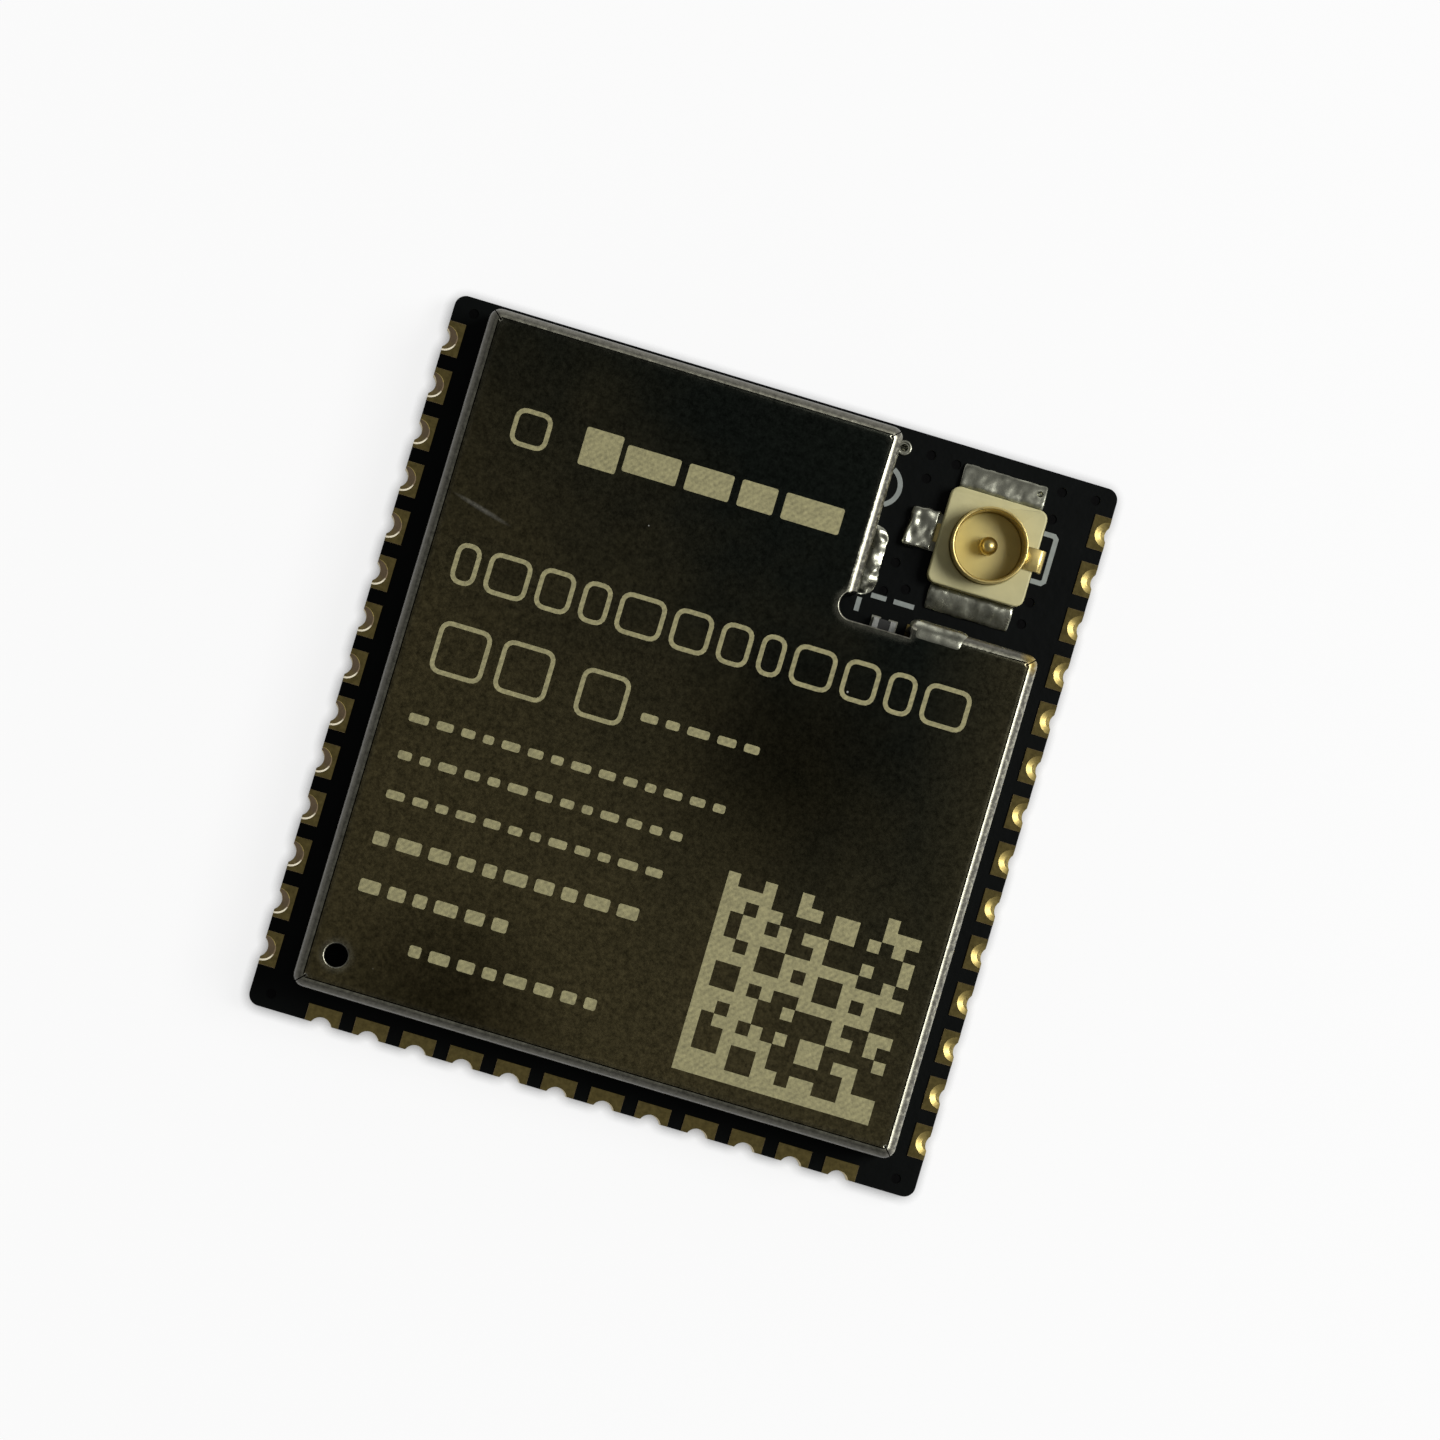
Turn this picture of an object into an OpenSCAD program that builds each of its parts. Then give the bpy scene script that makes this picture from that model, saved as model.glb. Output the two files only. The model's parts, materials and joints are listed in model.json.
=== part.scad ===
// Castellated radio module: a small circuit board with plated half-holes along
// three edges, a folded sheet-metal shield can over its parts, and a miniature
// coaxial antenna socket in a notch at one corner of the can.
// Sizes are in millimetres. The origin is at the middle of the underside, +Z is
// up, and the antenna socket stands at the +X, +Y corner.

/* [Board] */
// Width of the board, along X
board_w = 18; // [17.6:0.1:22]
// Length of the board, along Y
board_l = 19.2; // [19:0.1:24]
// Thickness of the laminate with its solder mask
board_t = 0.8; // [0.6:0.1:1.6]
// Radius of the board's corners
board_corner_r = 0.3; // [0.1:0.05:0.4]
// Thickness of a plated copper land
land_t = 0.05; // [0.03:0.01:0.08]
// Radius of the dimple over a covered via
via_r = 0.13; // [0.08:0.01:0.16]
// Depth of the dimple over a covered via
via_depth = 0.05; // [0.03:0.01:0.1]

/* [Edge pads] */
// Distance between neighbouring edge pads, kept closely by a row that fills its edge
pad_pitch = 1.27; // [1.1:0.01:1.28]
// Number of pads along each side edge, or 0 to fill it evenly
side_pads = 0; // [0:1:14]
// Number of pads along the bottom edge, or 0 to fill it evenly
bottom_pads = 0; // [0:1:12]
// Distance from the bottom edge to the lowest side pad
side_pad_offset = 1.5; // [1.4:0.05:1.9]
// Distance from the top edge to the highest side pad of a row that fills its edge
side_pad_end = 1.19; // [0.99:0.05:1.39]
// Distance from a side edge to the end pad of a bottom row that fills its edge
bottom_pad_end = 2.015; // [1.765:0.05:2.265]
// Width of a pad along the edge
pad_w = 0.9; // [0.75:0.05:1]
// Reach of a pad's upper land from the edge
pad_top_reach = 0.45; // [0.4:0.05:0.5]
// Reach of a pad's lower land from the edge
pad_under_reach = 0.9; // [0.6:0.05:1]
// Radius of the drilled half-hole
drill_r = 0.3; // [0.25:0.01:0.35]
// Thickness of the copper in the half-hole
plating_t = 0.05; // [0.03:0.01:0.08]
// Width of the worn rim where the plating turns into the hole
rim_w = 0.06; // [0.02:0.01:0.08]

/* [Ground pads] */
// Number of ground pads along each side of their square
ground_count = 3; // [1:1:3]
// Width of one ground pad
ground_pad_w = 0.9; // [0.6:0.05:1.1]
// Distance between neighbouring ground pads
ground_pitch = 1.4; // [1.2:0.05:1.6]
// Place of the middle ground pad along X
ground_x = -1.5; // [-2:0.1:-1]
// Place of the middle ground pad along Y
ground_y = 0.7; // [0.3:0.1:1.2]

/* [Shield can] */
// Margin from the board's side edges to the can
can_side_margin = 0.95; // [0.7:0.05:1.2]
// Margin from the board's top edge to the can
can_top_margin = 0.25; // [0.2:0.05:0.6]
// Margin from the board's bottom edge to the can
can_bottom_margin = 0.8; // [0.6:0.05:1]
// Height of the can over its lands
can_h = 2.35; // [1.8:0.05:3]
// Thickness of the sheet
sheet_t = 0.2; // [0.1:0.01:0.22]
// Outer radius of the folds
bend_r = 0.3; // [0.25:0.05:0.5]
// Radius of the can's upright corners
can_corner_r = 0.3; // [0.2:0.05:0.4]
// Width of the open seam where two walls meet at a corner
seam_w = 0.06; // [0.02:0.01:0.1]
// Width of the notch for the antenna socket
notch_w = 5; // [4.9:0.05:5.6]
// Length of the notch for the antenna socket
notch_l = 4.65; // [4.55:0.05:5.15]
// Open stretch of the notch's lower side, where the antenna line passes
gap_w = 1.6; // [1.5:0.05:1.9]
// Radius of the relief cut at the notch's inner corner
relief_r = 0.38; // [0.3:0.01:0.45]
// How far the relief cut lies inside the notch's lower face
relief_depth = 0.1; // [0:0.01:0.15]
// Radius of the vent hole in the lid
vent_r = 0.3; // [0.2:0.05:0.4]
// Distance of the vent hole from the can's left face
vent_x = 0.9; // [0.8:0.05:1.5]
// Distance of the vent hole from the can's bottom face
vent_y = 1; // [0.8:0.05:1.5]
// Width of the lands under the can's walls
shield_land_w = 0.4; // [0.25:0.05:0.5]
// Leg of the large solder fillets in the notch
notch_fillet = 0.36; // [0.2:0.02:0.4]
// Leg of the small solder fillets outside the right wall
side_fillet = 0.16; // [0.1:0.02:0.2]
// Thickness of solder at the toe of a fillet
solder_toe = 0.03; // [0.02:0.01:0.05]

/* [Antenna socket] */
// Distance from the board's right edge to the socket's axis
socket_from_right = 2.95; // [2.7:0.05:3]
// Distance from the board's top edge to the socket's axis
socket_from_top = 2.4; // [2.3:0.05:2.5]
// Width of the square insulator
socket_w = 2.6; // [2.4:0.05:2.7]
// Radius of the insulator's corners
socket_corner_r = 0.24; // [0.1:0.02:0.3]
// Height of the insulator
socket_body_h = 0.5; // [0.4:0.05:0.6]
// Height of the insulator's floor inside the ring
socket_floor_h = 0.34; // [0.2:0.02:0.38]
// Outer radius of the ring
ring_r = 1; // [0.9:0.05:1.1]
// Wall of the ring
ring_wall = 0.16; // [0.1:0.01:0.2]
// Height of the ring over the lands
ring_h = 1.25; // [1.1:0.05:1.4]
// Depth of the snap groove round the ring
groove_depth = 0.04; // [0.02:0.01:0.05]
// Chamfer at the ring's mouth
ring_lip = 0.04; // [0.02:0.01:0.05]
// Radius of the centre pin
pin_r = 0.24; // [0.2:0.01:0.3]
// Height of the centre pin over the lands
pin_h = 0.95; // [0.8:0.05:1.05]
// Thickness of the stamped contacts
contact_t = 0.1; // [0.08:0.01:0.14]
// Width of the two ground wings
wing_w = 1.8; // [1.4:0.1:2]
// How far a ground wing stands out of the insulator
wing_out = 0.2; // [0.1:0.02:0.3]
// Width of the signal leg
leg_w = 0.5; // [0.4:0.05:0.6]
// How far the signal leg stands out of the insulator
leg_out = 0.4; // [0.3:0.05:0.5]
// Width of the carrier tab
tab_w = 0.6; // [0.4:0.05:0.8]
// Reach of the carrier tab beyond the insulator
tab_out = 0.22; // [0.18:0.01:0.3]
// Length of a ground land beyond the insulator
ground_land_out = 0.64; // [0.5:0.02:0.7]
// Length of the signal land beyond the insulator
signal_land_out = 0.78; // [0.6:0.02:0.85]
// Width of a ground land
ground_land_w = 2.24; // [2.1:0.02:2.4]
// Width of the signal land
signal_land_w = 1; // [0.8:0.05:1.2]
// How far the socket's lands reach under the insulator
land_under = 0.35; // [0.2:0.05:0.4]
// Height of the solder against a contact
joint_h = 0.18; // [0.12:0.02:0.24]

/* [Test pad] */
// Outer radius of the ring pad beside the can
test_pad_r = 0.2; // [0.18:0.01:0.26]
// Radius of its drilled hole
test_hole_r = 0.13; // [0.1:0.01:0.15]
// Gap from the can's notch wall to the ring pad
test_pad_gap = 0.02; // [0.01:0.01:0.1]
// Distance from the board's top edge to the ring pad
test_pad_from_top = 0.52; // [0.4:0.02:0.7]

/* [Processor] */
// Width of the processor's square package
soc_w = 7; // [6:0.1:7.4]
// Height of the package
soc_h = 0.85; // [0.7:0.05:1]
// Leads on each side of the package
soc_leads_side = 14; // [8:1:14]
// Distance between its leads
soc_pitch = 0.4; // [0.35:0.01:0.42]
// Width of a lead
soc_lead_w = 0.2; // [0.15:0.01:0.24]
// Length of a lead
soc_lead_l = 0.4; // [0.3:0.05:0.6]
// Width of the heat paddle underneath
soc_paddle_w = 4; // [3:0.1:4.4]

/* [Flash memory] */
// Width of the memory's package
flash_w = 4; // [3.6:0.1:4.6]
// Length of the package
flash_l = 3; // [2.9:0.1:3.6]
// Height of the package
flash_h = 0.6; // [0.5:0.05:0.8]
// Leads on each side of the package
flash_leads_side = 4; // [2:1:4]
// Distance between its leads
flash_pitch = 0.8; // [0.65:0.05:0.85]
// Width of a lead
flash_lead_w = 0.3; // [0.2:0.02:0.36]
// Length of a lead
flash_lead_l = 0.6; // [0.4:0.05:0.7]
// Width of the heat paddle underneath
flash_paddle_w = 0.8; // [0.6:0.1:1.2]
// Thickness of the leads and paddles of both packages
lead_t = 0.2; // [0.15:0.01:0.25]

/* [Crystal] */
// Width of the crystal's case
crystal_w = 3.2; // [2.5:0.1:3.4]
// Length of the crystal's case
crystal_l = 2.5; // [2:0.1:2.8]
// Height of the ceramic base
crystal_base_h = 0.5; // [0.4:0.05:0.6]
// Height of the metal lid
crystal_lid_h = 0.25; // [0.2:0.05:0.4]
// How far the lid is set in from the base's edge
crystal_lid_inset = 0.2; // [0.1:0.05:0.3]
// Width of the crystal's four lands
crystal_land_w = 1; // [0.8:0.05:1.1]

/* [Chip parts] */
// Length of the chips in the antenna line
rf_chip_l = 0.6; // [0.55:0.01:0.65]
// Width and height of the chips in the antenna line
rf_chip_w = 0.3; // [0.26:0.01:0.33]
// Length of the small capacitors and resistors
chip_l = 1; // [0.9:0.05:1.1]
// Width and height of the small capacitors
chip_w = 0.5; // [0.4:0.05:0.55]
// Height of the resistors
resistor_h = 0.35; // [0.25:0.05:0.4]
// Length of the power inductor
inductor_l = 2; // [1.6:0.1:2.2]
// Width of the power inductor
inductor_w = 1.6; // [1.2:0.1:1.8]
// Height of the power inductor
inductor_h = 1; // [0.8:0.1:1.2]
// Share of a chip's length taken by each end cap
end_share = 0.24; // [0.2:0.01:0.28]
// How far the end caps stand proud of the chip's body
end_proud = 0.01; // [0.01:0.005:0.02]
// How far a chip's land shows round its end cap
chip_land_margin = 0.05; // [0.03:0.01:0.08]
// Distance from the can's notch wall to the chips in the antenna line
antenna_line_x = 1; // [0.8:0.05:1.2]
// Gap between neighbouring parts on the board
part_gap = 0.45; // [0.35:0.05:0.5]
// Distance between the capacitors in a row
row_pitch = 1.6; // [1.4:0.05:1.65]

/* [Hidden] */
$fn = 48;

// Overrun of a cutting shape past the face that it cuts
over = 0.1;
// Height at which everything soldered stands
seat_z = board_t + land_t;
// Radius of the plated half-hole
hole_r = drill_r - plating_t;
// Number of gaps between the pads of a row, and the length of one gap
function row_gaps(room, pads) = pads > 0 ? pads - 1 : round(room / pad_pitch);
function row_step(room, pads) = pads > 0 ? pad_pitch : room / row_gaps(room, pads);
side_room = board_l - side_pad_offset - side_pad_end;
side_gaps = row_gaps(side_room, side_pads);
side_step = row_step(side_room, side_pads);
bottom_room = board_w - 2 * bottom_pad_end;
bottom_gaps = row_gaps(bottom_room, bottom_pads);
bottom_step = row_step(bottom_room, bottom_pads);

// Faces of the can
can_left = -board_w / 2 + can_side_margin;
can_right = board_w / 2 - can_side_margin;
can_bottom = -board_l / 2 + can_bottom_margin;
can_top = board_l / 2 - can_top_margin;
can_lid_z = seat_z + can_h;
notch_x = can_right - notch_w;
notch_y = can_top - notch_l;
gap_end = notch_x + gap_w;
relief_y = notch_y - relief_depth;

// Axis of the antenna socket and reach of its contacts
socket_x = board_w / 2 - socket_from_right;
socket_y = board_l / 2 - socket_from_top;
ring_inner_r = ring_r - ring_wall;
neck_h = socket_body_h + contact_t + groove_depth;
tab_bend_r = 1.6 * contact_t;
tab_reach = socket_w / 2 + tab_out;
wing_reach = socket_w / 2 + wing_out;
leg_reach = socket_w / 2 + leg_out;

// Covered vias round the socket, from its axis
socket_vias = [
    [-2.05, 1.9], [-2, 1.28], [-1.35, 1.85], [1.5, 1.95], [1.45, 1.2],
    [1.5, -1.05], [1.45, -1.65], [-2.15, -1.05], [-1.7, -1.65], [-2.25, -1.85]
];
// Distances of the corner vias from the board's side and end edges
corner_via_x = 0.55;
corner_via_y = 0.4;

// Place of the test pad
test_pad_x = notch_x + test_pad_gap + test_pad_r;
test_pad_y = board_l / 2 - test_pad_from_top;
test_bore_r = test_hole_r - plating_t / 2;

// The can's walls, anticlockwise: start of the fold, its direction, its length, and
// whether a corner with the next wall lies at its start and at its end
walls = [
    [[can_left + bend_r, can_bottom], 0, can_right - can_left - 2 * bend_r, true, true],
    [[can_right, can_bottom + bend_r], 90, notch_y - can_bottom - 2 * bend_r, true, true],
    [[can_right - bend_r, notch_y], 180, can_right - bend_r - gap_end, true, false],
    [[notch_x, relief_y + relief_r], 90, can_top - bend_r - relief_y - relief_r, false, true],
    [[notch_x - bend_r, can_top], 180, notch_x - can_left - 2 * bend_r, true, true],
    [[can_left, can_top - bend_r], 270, can_top - can_bottom - 2 * bend_r, true, true]
];
// Set-back of a wall's mitred end that opens its half of the seam
mitre_gap = seam_w / sqrt(2);
RIGHT_WALL = 1;
NOTCH_LOWER_WALL = 2;
NOTCH_UPRIGHT_WALL = 3;

// Solder outside the walls: wall, start along it, length, leg
wall_fillets = [
    [NOTCH_UPRIGHT_WALL, 0.2, 1.7, notch_fillet],
    [NOTCH_LOWER_WALL, 1.8, 1, notch_fillet],
    [RIGHT_WALL, 9.2, 3.2, side_fillet],
    [RIGHT_WALL, 1.2, 2.4, side_fillet]
];

// Row of chips in the antenna line, which runs from the notch into the can
antenna_chip_x = notch_x + antenna_line_x;
antenna_chip_y = notch_y - part_gap / 2;
antenna_chip_pitch = rf_chip_w + part_gap;
antenna_chip_count = 3;
antenna_line_end = antenna_chip_y - (antenna_chip_count - 1) * antenna_chip_pitch
    - rf_chip_w / 2;

// Places of the parts under the can, each tied to its neighbours
flash_x = ground_x;
flash_y = ground_y - soc_w / 2 - 2 * part_gap - flash_l / 2;
crystal_x = ground_x + soc_w / 2 + 2 * part_gap + crystal_w / 2;
crystal_y = antenna_line_end - 2 * part_gap - crystal_l / 2;
top_row_y = ground_y + soc_w / 2 + part_gap + chip_w / 2;
left_row_x = ground_x - soc_w / 2 - part_gap - chip_w / 2;
load_x = crystal_x + crystal_w / 2 + part_gap / 2 + chip_w / 2;
inductor_x = can_left + shield_land_w + 2 * part_gap + inductor_l / 2;
inductor_y = can_top - shield_land_w - 2 * part_gap - inductor_w / 2;
resistor_x = flash_x + flash_w / 2 + 2 * part_gap + chip_l / 2;

// Small capacitors: place and turn
capacitors = concat(
    [for (i = [-1.5:1.5]) [ground_x + i * row_pitch, top_row_y, 0]],
    [for (i = [-1.5:1.5]) [left_row_x, ground_y + i * row_pitch, 90]],
    [for (i = [-1, 1]) [load_x, crystal_y + i * crystal_l / 4, 90]],
    [for (i = [1:2]) [inductor_x + inductor_l / 2 + i * row_pitch, inductor_y, 0]]
);
// Resistors: place and turn
resistors = [
    for (i = [-1:1]) [resistor_x, flash_y + i * (chip_w + part_gap), 0]
];
// Chips between the processor and the antenna socket: place and turn
antenna_chips = [
    for (i = [0:antenna_chip_count - 1])
        [antenna_chip_x, antenna_chip_y - i * antenna_chip_pitch, 0]
];

// Shared shapes

module rounded_rect(w, l, r) {
    square([w - 2 * r, l], center = true);
    square([w, l - 2 * r], center = true);
    for (x = [-1, 1], y = [-1, 1])
        translate([x * (w / 2 - r), y * (l / 2 - r)]) circle(r);
}

module plate(w, l, h) {
    translate([-w / 2, -l / 2, 0]) cube([w, l, h]);
}

// Places children on the left, bottom or right edge, with +X pointing outwards
module on_left_pads() {
    for (i = [0:side_gaps])
        translate([-board_w / 2, -board_l / 2 + side_pad_offset + i * side_step, 0])
            rotate(180) children();
}

module on_right_pads() {
    for (i = [0:side_gaps])
        translate([board_w / 2, -board_l / 2 + side_pad_offset + i * side_step, 0])
            children();
}

module on_bottom_pads() {
    for (i = [0:bottom_gaps])
        translate([(i - bottom_gaps / 2) * bottom_step, -board_l / 2, 0])
            rotate(-90) children();
}

module on_ground_pads() {
    for (i = [0:ground_count - 1], j = [0:ground_count - 1])
        translate([
            ground_x + (i - (ground_count - 1) / 2) * ground_pitch,
            ground_y + (j - (ground_count - 1) / 2) * ground_pitch,
            0
        ]) children();
}

module on_vias() {
    for (v = socket_vias)
        translate([socket_x + v[0], socket_y + v[1], 0]) children();
    for (x = [-1, 1], y = [-1, 1])
        translate([
            x * (board_w / 2 - corner_via_x), y * (board_l / 2 - corner_via_y), 0
        ]) children();
}

module at_socket() {
    translate([socket_x, socket_y, seat_z]) children();
}

module at_parts(places) {
    for (p = places) translate([p[0], p[1], 0]) rotate(p[2]) children();
}

// Stands children in a wall's frame: +X along the wall, +Y into the can
module along_wall(wall) {
    translate([wall[0][0], wall[0][1], 0]) rotate(wall[1]) children();
}

// Extrudes a profile of distance and height along the frame's +X
module sweep_along(length) {
    rotate([90, 0, 90]) linear_extrude(length) children();
}

// One edge pad: upper land, plated half-barrel and flush lower land
module edge_pad() {
    difference() {
        union() {
            translate([-pad_top_reach, -pad_w / 2, board_t])
                cube([pad_top_reach, pad_w, land_t]);
            translate([-pad_under_reach, -pad_w / 2, 0])
                cube([pad_under_reach, pad_w, land_t]);
            intersection() {
                cylinder(r = drill_r, h = seat_z);
                translate([-drill_r - over, -drill_r - over, 0])
                    cube([drill_r + over, 2 * (drill_r + over), seat_z]);
            }
        }
        translate([0, 0, -over]) cylinder(r = hole_r, h = seat_z + 2 * over);
        translate([0, 0, board_t])
            cylinder(r1 = hole_r, r2 = hole_r + 2 * rim_w, h = 2 * land_t);
    }
}

// Room that one edge pad takes out of the laminate
module edge_pad_room() {
    translate([0, 0, -over]) cylinder(r = drill_r, h = board_t + 2 * over);
    translate([-pad_under_reach, -pad_w / 2, -over])
        cube([pad_under_reach + over, pad_w, land_t + over]);
}

// Section of a solder fillet that climbs the face at Y = 0 from the -Y side
module fillet_section(leg) {
    difference() {
        translate([-leg, 0]) square(leg);
        translate([-leg, leg]) circle(leg - solder_toe);
    }
}

// Section of a low solder joint between a contact's end and the land's edge
module joint_section(length) {
    polygon([
        [0, 0], [length, 0], [length, solder_toe], [length / 2, joint_h / 2],
        [solder_toe, joint_h], [0, joint_h]
    ]);
}

// Leads of a package on two facing sides, flush with its underside and ends
module two_rows(span, count, pitch, w, l, h) {
    for (side = [0, 180], i = [0:count - 1])
        rotate(side)
            translate([span / 2 - l, (i - (count - 1) / 2) * pitch - w / 2, 0])
                cube([l, w, h]);
}

module processor_lead_set(l, h) {
    for (turn = [0, 90])
        rotate(turn)
            two_rows(soc_w + 2 * (l - soc_lead_l), soc_leads_side, soc_pitch,
                soc_lead_w, l, h);
}

module flash_lead_set(l, h) {
    two_rows(flash_w + 2 * (l - flash_lead_l), flash_leads_side, flash_pitch,
        flash_lead_w, l, h);
}

module chip_body(l, w, h) {
    translate([0, 0, seat_z + end_proud])
        plate(l * (1 - 2 * end_share), w - 2 * end_proud, h - 2 * end_proud);
}

module chip_ends(l, w, h) {
    for (side = [-1, 1])
        translate([side * l * (1 - end_share) / 2, 0, seat_z])
            plate(l * end_share, w, h);
}

module chip_lands(l, w) {
    for (side = [-1, 1])
        translate([side * l * (1 - end_share) / 2, 0, board_t])
            plate(l * end_share + 2 * chip_land_margin, w + 2 * chip_land_margin, land_t);
}

// Board and its copper

module circuit_board() {
    color("#10161a")
        difference() {
            linear_extrude(board_t) rounded_rect(board_w, board_l, board_corner_r);
            on_left_pads() edge_pad_room();
            on_right_pads() edge_pad_room();
            on_bottom_pads() edge_pad_room();
            on_ground_pads()
                translate([0, 0, -over])
                    plate(ground_pad_w, ground_pad_w, land_t + over);
            on_vias()
                translate([0, 0, board_t - via_depth])
                    cylinder(r = via_r, h = via_depth + over);
            translate([test_pad_x, test_pad_y, -over])
                cylinder(r = test_hole_r, h = board_t + 2 * over);
        }
}

module castellations_left() {
    color("#aa963c") on_left_pads() edge_pad();
}

module castellations_bottom() {
    color("#aa963c") on_bottom_pads() edge_pad();
}

module castellations_right() {
    color("#aa963c") on_right_pads() edge_pad();
}

module ground_pads() {
    color("#aa963c") on_ground_pads() plate(ground_pad_w, ground_pad_w, land_t);
}

module shield_lands() {
    color("#b8a050")
        for (wall = walls)
            along_wall(wall)
                translate([0, 0, board_t]) cube([wall[2], shield_land_w, land_t]);
}

module socket_lands() {
    ground_land_l = ground_land_out + land_under;
    signal_land_l = signal_land_out + land_under;
    color("#b8a050")
        translate([socket_x, socket_y, board_t]) {
            for (side = [-1, 1])
                translate([0, side * (socket_w / 2 - land_under + ground_land_l / 2), 0])
                    plate(ground_land_w, ground_land_l, land_t);
            translate([-socket_w / 2 + land_under - signal_land_l / 2, 0, 0])
                plate(signal_land_l, signal_land_w, land_t);
        }
}

module component_lands() {
    land_out = 0.15;
    color("#b8a050") {
        translate([ground_x, ground_y, board_t]) {
            processor_lead_set(soc_lead_l + land_out, land_t);
            plate(soc_paddle_w, soc_paddle_w, land_t);
        }
        translate([flash_x, flash_y, board_t]) {
            flash_lead_set(flash_lead_l + land_out, land_t);
            plate(flash_paddle_w, flash_l - 2 * land_out, land_t);
        }
        translate([crystal_x, crystal_y, board_t])
            for (x = [-1, 1], y = [-1, 1])
                translate([
                    x * (crystal_w - crystal_land_w) / 2,
                    y * (crystal_l - crystal_land_w) / 2,
                    0
                ]) plate(crystal_land_w, crystal_land_w, land_t);
        at_parts(capacitors) chip_lands(chip_l, chip_w);
        at_parts(resistors) chip_lands(chip_l, chip_w);
        at_parts(antenna_chips) chip_lands(rf_chip_l, rf_chip_w);
        translate([inductor_x, inductor_y, 0]) chip_lands(inductor_l, inductor_w);
    }
}

module test_pad() {
    color("#c8c8bc")
        translate([test_pad_x, test_pad_y, 0])
            difference() {
                union() {
                    cylinder(r = test_hole_r, h = seat_z);
                    translate([0, 0, board_t]) cylinder(r = test_pad_r, h = land_t);
                }
                translate([0, 0, -over])
                    cylinder(r = test_bore_r, h = seat_z + 2 * over);
            }
}

// Shield can, folded from one sheet

// Section of a wall: a straight leg and the fold that leads into the lid
module wall_section() {
    fold_z = can_lid_z - bend_r;
    translate([0, seat_z]) square([sheet_t, fold_z - seat_z]);
    translate([bend_r, fold_z])
        intersection() {
            difference() {
                circle(bend_r);
                circle(bend_r - sheet_t);
            }
            translate([-bend_r, 0]) square(bend_r);
        }
}

// What the round of a can's corner takes off the square corner at the origin
module corner_waste() {
    difference() {
        square(can_corner_r);
        translate([can_corner_r, can_corner_r]) circle(can_corner_r);
    }
}

// Plan of a wall with its fold, mitred and rounded where it meets another wall
module wall_plan(wall) {
    length = wall[2];
    start_gap = wall[3] ? mitre_gap : 0;
    end_gap = wall[4] ? mitre_gap : 0;
    start_reach = wall[3] ? bend_r - mitre_gap : 0;
    end_reach = wall[4] ? bend_r - mitre_gap : 0;
    difference() {
        polygon([
            [-start_reach, 0], [length + end_reach, 0],
            [length - end_gap, bend_r], [start_gap, bend_r]
        ]);
        if (wall[3]) translate([-bend_r, 0]) corner_waste();
        if (wall[4]) translate([length + bend_r, 0]) mirror([1, 0]) corner_waste();
    }
}

// A wall that folds down from the lid, in its own frame
module folded_wall(wall) {
    intersection() {
        translate([-bend_r, 0, 0]) sweep_along(wall[2] + 2 * bend_r) wall_section();
        linear_extrude(can_lid_z) wall_plan(wall);
    }
}

// Flat part of the lid, with the relief cut, the open gap and the vent hole
module lid_outline() {
    left = can_left + bend_r;
    right = can_right - bend_r;
    bottom = can_bottom + bend_r;
    top = can_top - bend_r;
    difference() {
        polygon([
            [left, bottom], [right, bottom], [right, notch_y - bend_r],
            [notch_x - bend_r, notch_y - bend_r], [notch_x - bend_r, top], [left, top]
        ]);
        translate([notch_x, relief_y]) circle(relief_r);
        translate([notch_x, relief_y - relief_r]) square([gap_w, 2 * relief_r]);
        translate([can_left + vent_x, can_bottom + vent_y]) circle(vent_r);
    }
}

module shield_can() {
    color("#3a3a34") {
        translate([0, 0, can_lid_z - sheet_t]) linear_extrude(sheet_t) lid_outline();
        for (wall = walls) along_wall(wall) folded_wall(wall);
    }
}

module shield_solder() {
    color("#a8aaa6")
        for (f = wall_fillets)
            along_wall(walls[f[0]])
                translate([f[1], 0, board_t]) sweep_along(f[2]) fillet_section(f[3]);
}

// Antenna socket

// The stamped ground contact: waisted snap ring, two wings and the bent carrier tab
module shell_solid() {
    difference() {
        union() {
            rotate_extrude()
                polygon([
                    [ring_inner_r, 0], [ring_r, 0], [ring_r - groove_depth, neck_h],
                    [ring_r, neck_h + 2 * groove_depth], [ring_r, ring_h - ring_lip],
                    [ring_r - ring_lip, ring_h], [ring_inner_r + ring_lip, ring_h],
                    [ring_inner_r, ring_h - ring_lip]
                ]);
            difference() {
                plate(wing_w, 2 * wing_reach, contact_t);
                translate([0, 0, -over])
                    cylinder(r = ring_inner_r, h = contact_t + 2 * over);
            }
            difference() {
                carrier_tab();
                cylinder(r = ring_inner_r, h = ring_h);
            }
        }
        signal_window();
    }
}

// Strip that leaves the ring over the insulator and turns down beyond its side
module carrier_tab() {
    translate([0, tab_w / 2, socket_body_h])
        rotate([90, 0, 0])
            linear_extrude(tab_w) {
                square([tab_reach - tab_bend_r, contact_t]);
                translate([tab_reach - tab_bend_r, contact_t - tab_bend_r])
                    intersection() {
                        difference() {
                            circle(tab_bend_r);
                            circle(tab_bend_r - contact_t);
                        }
                        square(tab_bend_r);
                    }
                translate([tab_reach - contact_t, -socket_body_h / 2])
                    square([contact_t, socket_body_h / 2 + contact_t - tab_bend_r]);
            }
}

// Opening in the ring's foot that keeps it clear of the signal leg
module signal_window() {
    window_h = socket_floor_h - contact_t;
    translate([-ring_r - over, -leg_w / 2 - contact_t, -over])
        cube([ring_r + over, leg_w + 2 * contact_t, window_h + over]);
}

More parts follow.
